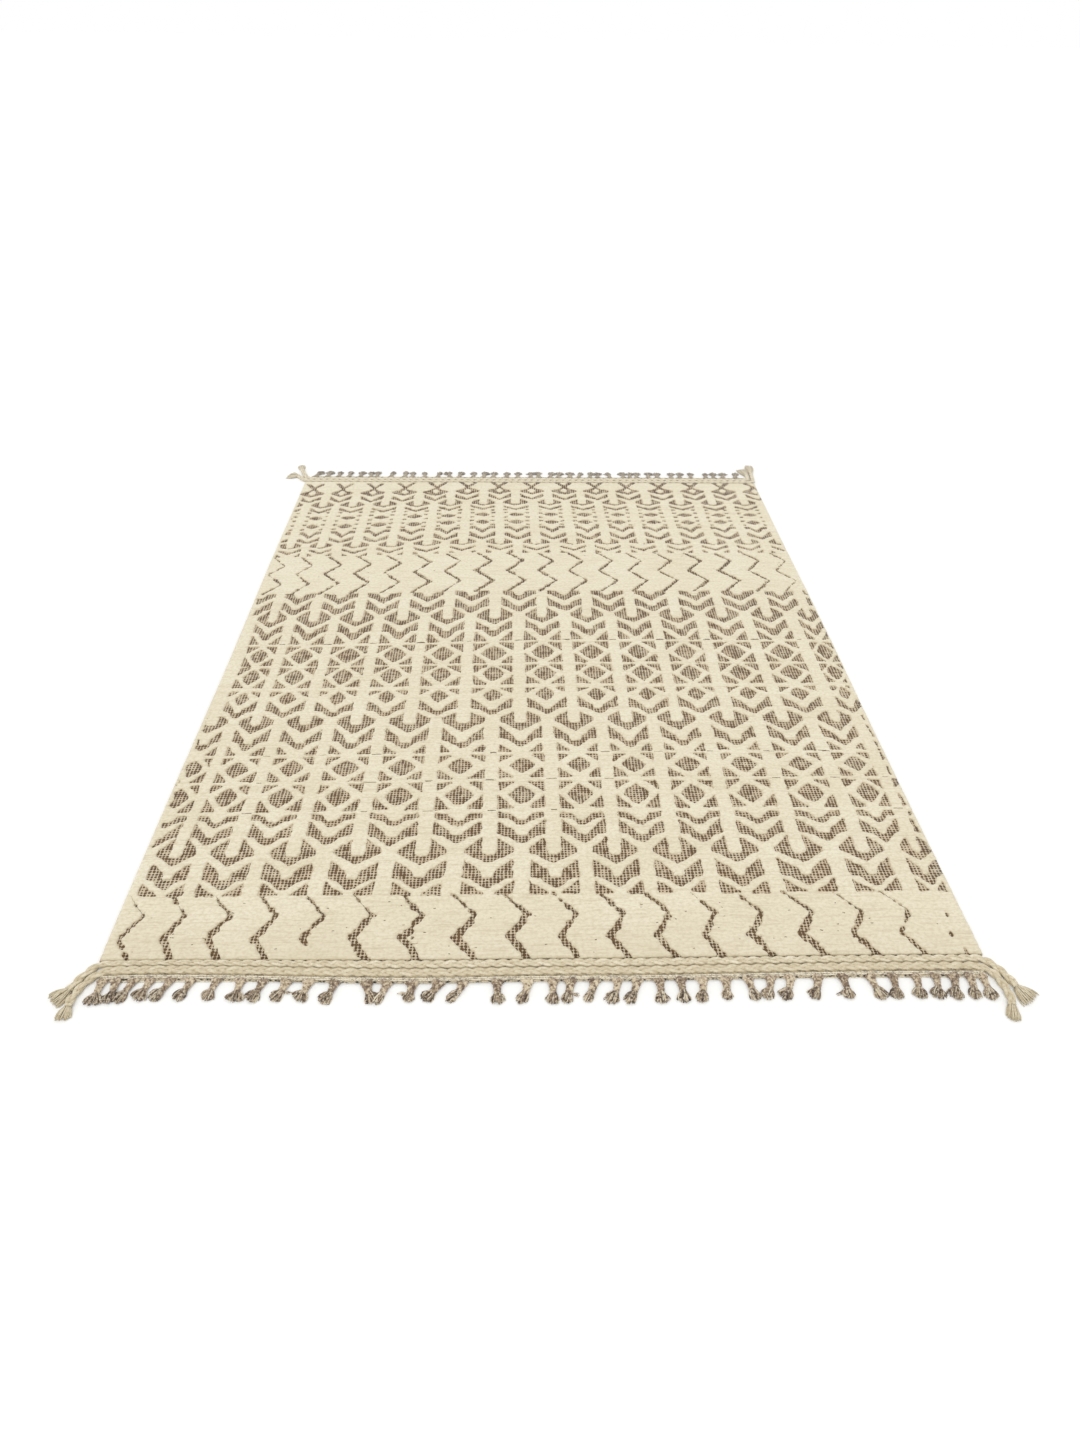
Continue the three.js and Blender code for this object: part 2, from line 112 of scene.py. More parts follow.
def uneven(x, y, most, pitch, seed):
    """Smooth unevenness up to most either way, with bumps about one pitch apart."""
    cells = 255
    table = np.random.default_rng(seed).uniform(-1, 1, (cells + 1, cells + 1))
    u, v = np.asarray(x) / pitch, np.asarray(y) / pitch
    column, row = np.floor(u).astype(int), np.floor(v).astype(int)
    a, b = u - column, v - row
    a, b = a * a * (3 - 2 * a), b * b * (3 - 2 * b)
    column, row = column % cells, row % cells
    low = table[row, column] * (1 - a) + table[row, column + 1] * a
    high = table[row + 1, column] * (1 - a) + table[row + 1, column + 1] * a
    return most * (low * (1 - b) + high * b)


def piece_of(name, points_mm, triangles, material, slot, flat_map=False):
    """A smooth mesh from points in millimetres and corner numbers, riding on the rug."""
    points = np.array(points_mm, np.float32)
    drawn_in = np.interp(points[:, 0], *zip(*NEAR_DRAWN_IN))
    stages = (DRAWN_FROM, FIELD_LONG / 2, DRAWN_FULL)
    points[:, 1] += drawn_in * np.interp(-points[:, 1], stages, (0, DRAWN_AT_END, 1))
    points *= MM
    triangles = np.asarray(triangles, np.int32)
    mesh = bpy.data.meshes.new(name)
    mesh.vertices.add(len(points))
    mesh.vertices.foreach_set("co", points.ravel())
    mesh.loops.add(triangles.size)
    mesh.loops.foreach_set("vertex_index", triangles.ravel())
    mesh.polygons.add(len(triangles))
    mesh.polygons.foreach_set("loop_start", np.arange(0, triangles.size, 3, dtype=np.int32))
    mesh.polygons.foreach_set("use_smooth", np.ones(len(triangles), bool))
    if flat_map:
        plan = mesh.uv_layers.new(name="OFBake")
        spread = (points[:, :2] / (FIELD_LONG * MM * PLAN_ROOM) + 0.5)[triangles.ravel()]
        plan.data.foreach_set("uv", spread.astype(np.float32).ravel())
    mesh.update(calc_edges=True)
    mesh.validate()
    mesh.materials.append(material)
    piece = bpy.data.objects.new(name, mesh)
    bpy.context.scene.collection.objects.link(piece)
    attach(piece, "root")
    return piece


def from_hex(code):
    """An sRGB colour code as the linear colour that a shader takes."""
    parts = [int(code[at:at + 2], 16) / 255 for at in (0, 2, 4)]
    return (*[p / 12.92 if p <= 0.04045 else ((p + 0.055) / 1.055) ** 2.4 for p in parts], 1)


def add(tree, kind, inputs=None, **settings):
    """One shader node with its settings; an input is a value or another node's output."""
    made = tree.nodes.new(kind)
    for name, value in settings.items():
        setattr(made, name, value)
    for name, value in (inputs or {}).items():
        if isinstance(value, bpy.types.NodeSocket):
            tree.links.new(value, made.inputs[name])
        else:
            made.inputs[name].default_value = value
    return made


def wool(name, roughness, sheen):
    """A new material with the shader of dry wool yarn, which has a soft nap and no gloss."""
    material = bpy.data.materials.new(name)
    material.use_nodes = True
    shader = material.node_tree.nodes["Principled BSDF"]
    shader.inputs["Roughness"].default_value = roughness
    shader.inputs["IOR"].default_value = 1.54
    shader.inputs["Specular IOR Level"].default_value = 0.2
    shader.inputs["Sheen Weight"].default_value = sheen
    shader.inputs["Sheen Roughness"].default_value = 0.6
    return material, material.node_tree, shader


def millimetres(tree, x_pitch, y_pitch, z_pitch):
    """The piece's own coordinates, counted in pitches given in millimetres."""
    where = add(tree, "ShaderNodeTexCoord").outputs["Object"]
    scale = (1 / (x_pitch * MM), 1 / (y_pitch * MM), 1 / (z_pitch * MM))
    return add(tree, "ShaderNodeVectorMath", {0: where, 1: scale}, operation="MULTIPLY").outputs[0]


def rug_axis(tree, axis):
    """How far a point lies along one axis of the rug, in millimetres."""
    return add(tree, "ShaderNodeSeparateXYZ", {0: millimetres(tree, 1, 1, 1)}).outputs[axis]


def dyed(tree, tone, code, value, span, shares):
    """A tone with a colour over it, between two shares as a value goes across a span."""
    share = add(tree, "ShaderNodeMapRange", {
        "Value": value, "From Min": span[0], "From Max": span[1], "To Min": shares[0], "To Max": shares[1],
    }).outputs["Result"]
    return add(tree, "ShaderNodeMix", {
        "Factor": share, "A": tone, "B": from_hex(code),
    }, data_type="RGBA").outputs["Result"]


# Single yarns are too fine to show at this distance, so the floats of brown yarn are drawn
# about a centimetre apart, as they read in the photograph.
WEFT_PITCH = 10.0
WARP_PITCH = 10.9

# Flat-woven wool: brown floats stand in columns between the ivory wefts, matt and rough.
flatweave, tree, shader = wool("flat_woven_wool", 0.96, 0.12)
jitter = add(tree, "ShaderNodeTexNoise", {"Vector": millimetres(tree, 30, 30, 30), "Scale": 1, "Detail": 2})
loose = add(tree, "ShaderNodeVectorMath", {
    0: jitter.outputs["Color"], 1: (0.5, 0.5, 0.5),
}, operation="SUBTRACT").outputs[0]
cell = add(tree, "ShaderNodeVectorMath", {
    0: loose, 1: (0.5, 0.9, 0), 2: millimetres(tree, WARP_PITCH, WEFT_PITCH, 10),
}, operation="MULTIPLY_ADD").outputs[0]
inside = add(tree, "ShaderNodeVectorMath", {0: cell}, operation="FRACTION").outputs[0]
centred = add(tree, "ShaderNodeVectorMath", {0: inside, 1: (0.5, 0.5, 0)}, operation="SUBTRACT").outputs[0]
shaped = add(tree, "ShaderNodeVectorMath", {0: centred, 1: (2.1, 1.9, 0)}, operation="MULTIPLY").outputs[0]
reach = add(tree, "ShaderNodeVectorMath", {0: shaped}, operation="LENGTH").outputs["Value"]
number = add(tree, "ShaderNodeVectorMath", {0: cell}, operation="FLOOR").outputs[0]
chance = add(tree, "ShaderNodeTexWhiteNoise", {"Vector": number}, noise_dimensions="2D").outputs["Value"]
swell = add(tree, "ShaderNodeMath", {0: chance, 1: 0.35, 2: -0.18}, operation="MULTIPLY_ADD").outputs[0]
clumps = add(tree, "ShaderNodeTexNoise", {"Vector": millimetres(tree, 24, 28, 30), "Scale": 1, "Detail": 2})
clump_share = add(tree, "ShaderNodeMapRange", {
    "Value": clumps.outputs["Fac"], "From Min": 0.3, "From Max": 0.7, "To Min": 0.2, "To Max": -0.26,
}).outputs["Result"]
# the brown floats are drawn larger toward both ends, so the cloth reads darker there
along_rug = rug_axis(tree, "Y")
near_growth = add(tree, "ShaderNodeMapRange", {
    "Value": along_rug, "From Min": -1300, "From Max": -1400, "To Min": 0, "To Max": 0.1,
}).outputs["Result"]
far_growth = add(tree, "ShaderNodeMapRange", {
    "Value": along_rug, "From Min": 750, "From Max": 1500, "To Min": 0, "To Max": 0.07,
}).outputs["Result"]
end_growth = add(tree, "ShaderNodeMath", {0: near_growth, 1: far_growth}, operation="ADD").outputs[0]
clumped = add(tree, "ShaderNodeMath", {0: reach, 1: clump_share}, operation="ADD").outputs[0]
reach_at_ends = add(tree, "ShaderNodeMath", {0: clumped, 1: end_growth}, operation="SUBTRACT").outputs[0]
nearness = add(tree, "ShaderNodeMath", {0: reach_at_ends, 1: swell}, operation="SUBTRACT").outputs[0]
float_mask = add(tree, "ShaderNodeMapRange", {
    "Value": nearness, "From Min": 0.6, "From Max": 0.88, "To Min": 1, "To Max": 0,
}, interpolation_type="SMOOTHSTEP").outputs["Result"]
brown_tones = add(tree, "ShaderNodeMix", {
    "Factor": chance, "A": from_hex("2B1C10"), "B": from_hex("5E452E"),
}, data_type="RGBA").outputs["Result"]
brown_tones = dyed(tree, brown_tones, "77603F", along_rug, (500, 0), (0.05, 0.3))
weft_noise = add(tree, "ShaderNodeTexNoise", {"Vector": millimetres(tree, 26, 9, 9), "Scale": 1, "Detail": 3})
weft_tones = add(tree, "ShaderNodeMix", {
    "Factor": weft_noise.outputs["Fac"], "A": from_hex("A6957A"), "B": from_hex("E4D7BC"),
}, data_type="RGBA").outputs["Result"]
hues = add(tree, "ShaderNodeTexNoise", {"Vector": millimetres(tree, 90, 70, 90), "Scale": 1, "Detail": 1})
weft_tones = dyed(tree, weft_tones, "C6AD90", hues.outputs["Fac"], (0.42, 0.62), (0, 0.45))
woven_colour = add(tree, "ShaderNodeMix", {
    "Factor": float_mask, "A": weft_tones, "B": brown_tones,
}, data_type="RGBA").outputs["Result"]
woven_bump = add(tree, "ShaderNodeBump", {"Height": float_mask, "Distance": 1.2 * MM, "Strength": 0.8})
tree.links.new(woven_colour, shader.inputs["Base Color"])
tree.links.new(woven_bump.outputs["Normal"], shader.inputs["Normal"])

columns = FIELD_WIDE // GROUND_CELL + 1
rows = int(math.ceil((FIELD_LONG + 2 * END_LIP) / GROUND_CELL)) + 1
across = np.linspace(-FIELD_WIDE / 2, FIELD_WIDE / 2, columns)
along = np.linspace(-FIELD_LONG / 2 - END_LIP, FIELD_LONG / 2 + END_LIP, rows)
gx, gy = np.meshgrid(across, along)
stretched = np.clip((np.abs(gx) - WAVE_FROM) / (FIELD_WIDE / 2 - WAVE_FROM), 0, 1)
gx = gx + edge_wave(np.sign(gx), gy) * stretched * np.sign(gx)
gz = GROUND_TOP + uneven(gx, gy, *GROUND_ROLL)
top = np.stack([gx, gy, gz], -1).reshape(-1, 3)
under = np.stack([gx, gy, gx * 0], -1).reshape(-1, 3)
count = len(top)
number_of = np.arange(count).reshape(rows, columns)
a, b = number_of[:-1, :-1].ravel(), number_of[:-1, 1:].ravel()
c, d = number_of[1:, 1:].ravel(), number_of[1:, :-1].ravel()
faces = [np.stack([a, b, c], 1), np.stack([a, c, d], 1)]
faces += [face[:, ::-1] + count for face in faces]
rim = np.concatenate([
    number_of[0, :], number_of[1:, -1], number_of[-1, -2::-1], number_of[-2:0:-1, 0],
])
after = np.roll(rim, -1)
faces += [np.stack([rim, rim + count, after + count], 1), np.stack([rim, after + count, after], 1)]
cloth = (np.concatenate([top, under]), np.concatenate(faces))
ground = piece_of("ground_cloth", *cloth, flatweave, "ground", flat_map=True)
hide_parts("rug_field")

# Pile
# Ivory wool knotted by hand into the ground and cut to a soft nap, a centimetre over the floor.
# The knots are left out where the pattern is, so every motif is a hollow with soft walls.

PILE_TOP = 10
PILE_FOOT = 4.4
KNOT_GRID = 5
# the nap rolls over beside a hollow, over NAP_ROLL and down by NAP_FALL, and its wall splays
NAP_ROLL = 4.5
NAP_FALL = 2.6
WALL_SPLAY = 0.9
# every hollow is opened by OPENED, and its far wall stands back by more toward the far end
OPENED = 0.6
BACK_NEAR = 3
BACK_FAR = 6
# no hollow reaches the plain margins along the two sides
LEFT_MARGIN = 12
RIGHT_MARGIN = 7
# hand-made unevenness: (most either way, distance between bumps, seed)
STEPPED_ZIGZAG = (5, 13, 17)
RAGGED_EDGE = (3.2, 9, 11)
UNEVEN_EDGE = (2.2, 24, 12)
UNEVEN_MARGIN = (8, 60, 16)
FRAYED_BORDER = (0.5, 9, 13)
BROAD_NAP = (0.45, 70, 14)
FINE_NAP = (0.35, 14, 15)
# each motif's own size and shift, as hand knotting makes them
MOTIF_SIZES = (0.95, 1.05)
MOTIF_SHIFTS = (-2.5, 2.5)
MOTIF_SEED = 21

# Every second column of a band is shifted by half a pitch, so a motif names column 0 or 1.
PRONG = {"pitch": 169, "first": -1158}
LATTICE = {"pitch": 193.2, "first": -1025}
ZIGZAG = {"pitch": 138.2, "first": -1147}
# the last whole column of the lattice was knotted narrower, to fit beside the right edge
LAST_COLUMN = 1197
LAST_NARROWED = 0.74


def pointed(half, side_top, side_foot, point_top, point_foot, shoulder=None):
    """A band that dips to a point. A shoulder keeps it level from the sides to that far across."""
    above, below = [(half, side_top)], [(half, side_foot)]
    if shoulder:
        above, below = [(shoulder, side_top), *above], [*below, (shoulder, side_foot)]
    return [(0, point_top), *above, *below, (0, point_foot)]


def notched(half, side_top, side_foot, notch_half, notch_side, notch_foot, point_foot):
    """A deep band whose upper edge drops into a square notch over its point."""
    return [
        (0, notch_foot), (notch_half * 0.72, notch_foot - 3), (notch_half, notch_side), (half, side_top),
        (half, side_foot), (half * 0.6, side_foot + 8), (11, point_foot - 4), (0, point_foot),
    ]


def cuff(bar, top, corner_top, corner_foot, end, foot, reach):
    """The hollow round the rounded end of a bar."""
    return [
        (0, end), (bar * 0.6, end - 2), (bar * 0.92, end - 10), (bar, end - 21), (bar, top),
        (reach, corner_top), (reach, corner_foot), (0, foot),
    ]


def lozenge(middle, width, height):
    """A diamond with slightly rounded sides."""
    side, bend = width * 0.29, height * 0.28
    return [
        (0, middle - height / 2), (side, middle - bend), (width / 2, middle),
        (side, middle + bend), (0, middle + height / 2),
    ]


def corner(half, base, tip, width):
    """A triangle in the corner beside a diamond."""
    return [(half, base), (half, tip), (half - width, base)]


def side_dash(down):
    """A short dash at the side of a bar."""
    return [(42, down - 4), (61, down - 6), (61, down + 5), (44, down + 4)]


# Column, then one side of a motif as (across from the column's middle, down from the far edge).
# Its other side is the mirror image.
PRONG_CHART = [
    (0, [(32, -4), (52, -4), (9, 54), (9, 66), (-9, 66), (-9, 54), (-7, 49)]),
    (0, [(0, 55), (10, 62), (26, 82), (64, 101), (64, 113), (36, 128), (0, 149)]),
    (0, pointed(60, 141, 177, 200, 212)),
    (1, cuff(23, 208, 236, 251, 265, 277, 60)),
    (1, pointed(60, 278, 297, 315, 330)),
    *[(1, side_dash(down)) for down in (327, 362, 408, 448, 490)],
    (1, lozenge(382, 76, 36)),
    (1, lozenge(462, 74, 40)),
    (1, pointed(60, 510, 530, 547, 571, shoulder=36)),
    (1, [(0, 621), (14, 615), (28, 597), (60, 565), (60, 604), (40, 617), (10, 638), (0, 641)]),
    (0, cuff(24, 636, 662, 677, 690, 697, 60)),
    (0, pointed(60, 703, 720, 742, 755)),
    (0, corner(60, 773, 750, 27)),
]
LATTICE_CHART = [
    (0, [(0, 1162), (15, 1157), (28, 1127), (71, 1121), (71, 1147), (44, 1162), (0, 1203)]),
    (0, notched(71, 1178, 1241, 24, 1225, 1246, 1287)),
    (1, cuff(23, 1260, 1308, 1323, 1343, 1379, 71)),
    (1, notched(73, 1359, 1415, 22, 1405, 1429, 1475)),
    (1, corner(73, 1503, 1440, 48)),
    (1, corner(73, 1524, 1575, 54)),
    (1, lozenge(1592, 90, 103)),
    (1, corner(73, 1660, 1604, 52)),
    (1, corner(73, 1678, 1724, 52)),
    (1, lozenge(1733, 84, 94)),
    (1, corner(73, 1799, 1746, 52)),
    (1, corner(73, 1826, 1856, 44)),
    (1, lozenge(1869, 66, 74)),
    (1, notched(73, 1888, 1943, 22, 1938, 1959, 1984)),
    (0, cuff(24, 1974, 2005, 2024, 2039, 2080, 71)),
    (0, notched(72, 2060, 2121, 24, 2113, 2142, 2168)),
    (0, corner(72, 2192, 2149, 42)),
    (0, corner(72, 2210, 2246, 44)),
    (0, lozenge(2265, 86, 76)),
    (0, corner(72, 2326, 2280, 51)),
    (0, corner(72, 2346, 2387, 47)),
    (0, lozenge(2408, 86, 90)),
    (0, corner(72, 2472, 2413, 48)),
    (0, [(0, 2528), (14, 2524), (27, 2507), (34, 2498), (72, 2491),
         (72, 2513), (40, 2519), (12, 2544), (0, 2547)]),
    (0, notched(72, 2528, 2584, 24, 2574, 2595, 2626)),
    (1, cuff(23, 2604, 2651, 2664, 2678, 2709, 71)),
    (1, notched(72, 2694, 2762, 22, 2738, 2767, 2804)),
    (1, corner(72, 2827, 2779, 58)),
]
# the pile that stands as an eye in each ring of the far row
RING_EYE = lozenge(99, 40, 52)

# Zigzag channels, one row for each turn: (down, how far left of the right-hand turns, width)
FAR_ZIGZAG = [(782, 65, 7), (852, 0, 8), (942, 68, 8), (1032, -10, 8), (1122, 66, 8)]
NEAR_ZIGZAG = [
    (2828, 64, 4), (2868, 30, 5), (2901, 0, 10), (2938, 22, 11), (2978, 48, 17), (3010, 26, 13),
    (3052, 0, 14),
]
# half of a channel, as a share of its width at each turn
CHANNEL_HALF = 0.7

# How boldly each zigzag was knotted, from left to right
FAR_BOLD = [0.35, 0.7, 1, 1.2, 1, 1, 0.7, 1.15, 1.2, 1.1, 0.8, 0.7, 0.75, 1.1, 1.3, 1.2, 1, 0.4]
NEAR_BOLD = [0.5, 1.1, 0.9, 1, 0.8, 1.1, 1.1, 1, 1, 0.9, 1.1, 1.1, 1, 1, 1.1, 0.9, 0.6]
# the near zigzag that stops a turn early
NEAR_CUT_SHORT = 4
# Small marks knotted alone near the right edge: (across, down, width, height)
LONE_MARKS = [(1204, 2918, 16, 18), (1188, 2984, 17, 22), (1210, 3038, 10, 20)]

# The knotting wanders. Rows lag on the left side, from nothing at a start to the full lag at
# LAG_REACH left of it: (down, full lag, where across the start is)
LAG_ROWS = [
    (0, 38, -280), (110, 45, -280), (270, 46, -280), (463, 64, -280), (560, 84, -280), (650, 56, -280),
    (760, 50, -280), (852, 60, -280), (945, 44, -280), (1040, 42, -280), (1125, 35, -150), (1512, 36, 0),
    (1670, 26, 0), (1813, 30, 0), (2064, 14, 0), (2202, 18, 0), (2336, 18, 0), (2480, 10, 0), (2640, 3, 0),
    (2828, 0, 0),
]
LAG_REACH = 900
LAG_EASE = 0.75
# Columns drift as well: how far right each place across lies, on the row at each distance down
DRIFT_ACROSS = [-1220, -1120, -1000, -820, -640, -460, -300, -140, 30, 200, 380, 540, 700, 870, 1060, 1200]
DRIFT_ROWS = [
    (100, [2, 0, -14, -20, -24, -26, -27, -29, -24, -20, -20, -20, -12, -5, -10, -6]),
    (480, [0, -10, -25, -30, -29, -24, -25, -22, -15, -12, -8, -5, -2, 0, -2, -5]),
    (700, [4, -5, -28, -34, -33, -31, -27, -14, -13, 0, -6, 0, 6, 10, 9, 0]),
    (850, [3, 0, -15, -22, -24, -25, -24, -12, -8, -5, -4, -8, -4, 0, 0, -15]),
    (1600, [40, 17, -4, -14, -23, -27, -27, -19, -10, -9, -10, -13, -12, -6, -2, -24]),
    (2250, [35, 8, -11, -18, -29, -28, -24, -10, 0, -1, -4, -9, -10, -4, 3, -20]),
    (2650, [15, -4, -22, -32, -37, -28, -20, -10, -1, -5, -10, -15, -18, -5, 0, -28]),
    (2914, [0, 0, -26, -35, -40, -42, -36, -14, -6, -4, -11, -17, -15, 0, 0, -33]),
]


def wander(across, down):
    """Where charted places lie on the field, after the lag of their row and the drift of their column."""
    across, down = np.asarray(across, float), np.asarray(down, float)
    row, most, start = zip(*LAG_ROWS)
    share = np.clip((np.interp(down, row, start) - across) / LAG_REACH, 0, 1) ** LAG_EASE
    lag = np.interp(down, row, most) * share
    row, drifts = zip(*DRIFT_ROWS)
    by_row = np.array([np.interp(across, DRIFT_ACROSS, drift) for drift in drifts])
    at = np.interp(down, row, range(len(row)))
    low = np.minimum(at.astype(int), len(row) - 2)
    place = np.arange(len(across))
    drift = by_row[low, place] * (1 - at + low) + by_row[low + 1, place] * (at - low)
    return np.stack([across + drift, FIELD_LONG / 2 - down - lag], -1)


def outlines_of(band, chart):
    """Every motif of a band, placed on the field, each with its own size and shift."""
    rng = np.random.default_rng(MOTIF_SEED)
    for column, half in chart:
        on_middle = half[0][0] == half[-1][0] == 0
        other = [(-x, y) for x, y in half[::-1] if x > 0 or not on_middle]
        whole = [half + other] if on_middle else [half, other]
        for index in range(-1, int(FIELD_WIDE / band["pitch"]) + 2):
            middle = band["first"] + (index + column / 2) * band["pitch"]
            for outline in whole:
                x, y = (np.array(values, float) for values in zip(*outline))
                size_x, size_y = rng.uniform(*MOTIF_SIZES, 2)
                shift_x, shift_y = rng.uniform(*MOTIF_SHIFTS, 2)
                x = x.mean() + (x - x.mean()) * size_x + shift_x
                y = y.mean() + (y - y.mean()) * size_y + shift_y
                narrowed = LAST_NARROWED if band is LATTICE and abs(middle - LAST_COLUMN) < 1 else 1
                yield wander(x * narrowed + middle, y)


def zigzags_of(rows, boldness):
    """The channel of every zigzag in a band, wider where it was knotted more boldly."""
    for index, bold in enumerate(boldness):
        turns = rows[:-1] if rows is NEAR_ZIGZAG and index == NEAR_CUT_SHORT else rows
        turn = ZIGZAG["first"] + index * ZIGZAG["pitch"]
        right = [(turn - left + width * bold * CHANNEL_HALF, down) for down, left, width in turns]
        left = [(turn - left - width * bold * CHANNEL_HALF, down) for down, left, width in turns]
        x, y = zip(*(right + left[::-1]))
        yield wander(x, y)


# the grid of knots runs on past the field's edges, and distances count only up to FAR_AWAY
GRID_ROOM = 2 * KNOT_GRID
FAR_AWAY = 12
grid_x, grid_y = (
    np.arange(-size / 2 - GRID_ROOM, size / 2 + GRID_ROOM + KNOT_GRID / 2, KNOT_GRID)
    for size in (FIELD_WIDE, FIELD_LONG)
)
knot_x, knot_y = np.meshgrid(grid_x, grid_y)


def sink(distance, outline):
    """Lowers distance, which is how far a knot lies outside the nearest hollow, for one outline."""
    low, high = outline.min(0) - FAR_AWAY, outline.max(0) + FAR_AWAY
    i0, i1 = np.searchsorted(grid_x, (low[0], high[0]))
    j0, j1 = np.searchsorted(grid_y, (low[1], high[1]))
    if i0 == i1 or j0 == j1:
        return
    x, y = knot_x[j0:j1, i0:i1], knot_y[j0:j1, i0:i1]
    nearest = np.full(x.shape, np.inf)
    within = np.zeros(x.shape, bool)
    for (ax, ay), (bx, by) in zip(outline, np.roll(outline, -1, 0)):
        ex, ey = bx - ax, by - ay
        share = np.clip(((x - ax) * ex + (y - ay) * ey) / (ex * ex + ey * ey + 1e-9), 0, 1)
        nearest = np.minimum(nearest, np.hypot(x - ax - share * ex, y - ay - share * ey))
        crosses = (ay > y) != (by > y)
        within ^= crosses & (x < ax + (y - ay) * ex / (ey if ey else 1e-9))
    distance[j0:j1, i0:i1] = np.minimum(distance[j0:j1, i0:i1], np.where(within, -nearest, nearest))


hollow = np.full(knot_x.shape, float(FAR_AWAY))
for zigzag, boldness in ((FAR_ZIGZAG, FAR_BOLD), (NEAR_ZIGZAG, NEAR_BOLD)):
    for outline in zigzags_of(zigzag, boldness):
        sink(hollow, outline)
hollow = hollow + uneven(knot_x, knot_y, *STEPPED_ZIGZAG) * (hollow < FAR_AWAY)
for band, chart in ((PRONG, PRONG_CHART), (LATTICE, LATTICE_CHART)):
    for outline in outlines_of(band, chart):
        sink(hollow, outline)
for across_at, down_at, wide, tall in LONE_MARKS:
    x, y = zip(*[(0, -tall / 2), (wide / 2, 0), (0, tall / 2), (-wide / 2, 0)])
    sink(hollow, wander(np.array(x) + across_at, np.array(y) + down_at))
# the charts give where ground shows past each near wall, and the far walls stand further back
back = np.interp(grid_y, (-FIELD_LONG / 2, FIELD_LONG / 2), (BACK_NEAR, BACK_FAR)) / KNOT_GRID
row_at = np.clip(np.arange(len(grid_y)) - back, 0, len(grid_y) - 1)
row_low = row_at.astype(int)
row_high = np.minimum(row_low + 1, len(grid_y) - 1)
row_share = (row_at - row_low)[:, None]
moved = hollow[row_low] * (1 - row_share) + hollow[row_high] * row_share
hollow = np.minimum(hollow, moved) - OPENED
eyes = np.full(knot_x.shape, float(FAR_AWAY))
for outline in outlines_of(PRONG, [(0, RING_EYE)]):
    sink(eyes, outline)
border_x = FIELD_WIDE / 2 + edge_wave(np.sign(knot_x), knot_y) - np.abs(knot_x)
border_y = FIELD_LONG / 2 - np.abs(knot_y)
margin = np.where(knot_x < 0, LEFT_MARGIN, RIGHT_MARGIN) - border_x + uneven(knot_x, knot_y, *UNEVEN_MARGIN)
pile = np.maximum(np.maximum(hollow, -eyes), margin)
pile = pile + uneven(knot_x, knot_y, *RAGGED_EDGE) + uneven(knot_x, knot_y, *UNEVEN_EDGE)
border = np.minimum(border_x, border_y) + uneven(knot_x, knot_y, *FRAYED_BORDER)
pile = np.minimum(pile, border)
nap = np.clip(1 - pile / NAP_ROLL, 0, 1)
pile_z = PILE_TOP - NAP_FALL * nap * nap
pile_z = pile_z + uneven(knot_x, knot_y, *BROAD_NAP) + uneven(knot_x, knot_y, *FINE_NAP)
slope_y, slope_x = np.gradient(pile, KNOT_GRID)
steep = np.hypot(slope_x, slope_y) + 1e-6
# a wall's top follows the nap's unevenness by a share, and stays clear of the knots beside it
RIM_FOLLOWS = 0.3
CUT_SHARES = (0.12, 0.88)


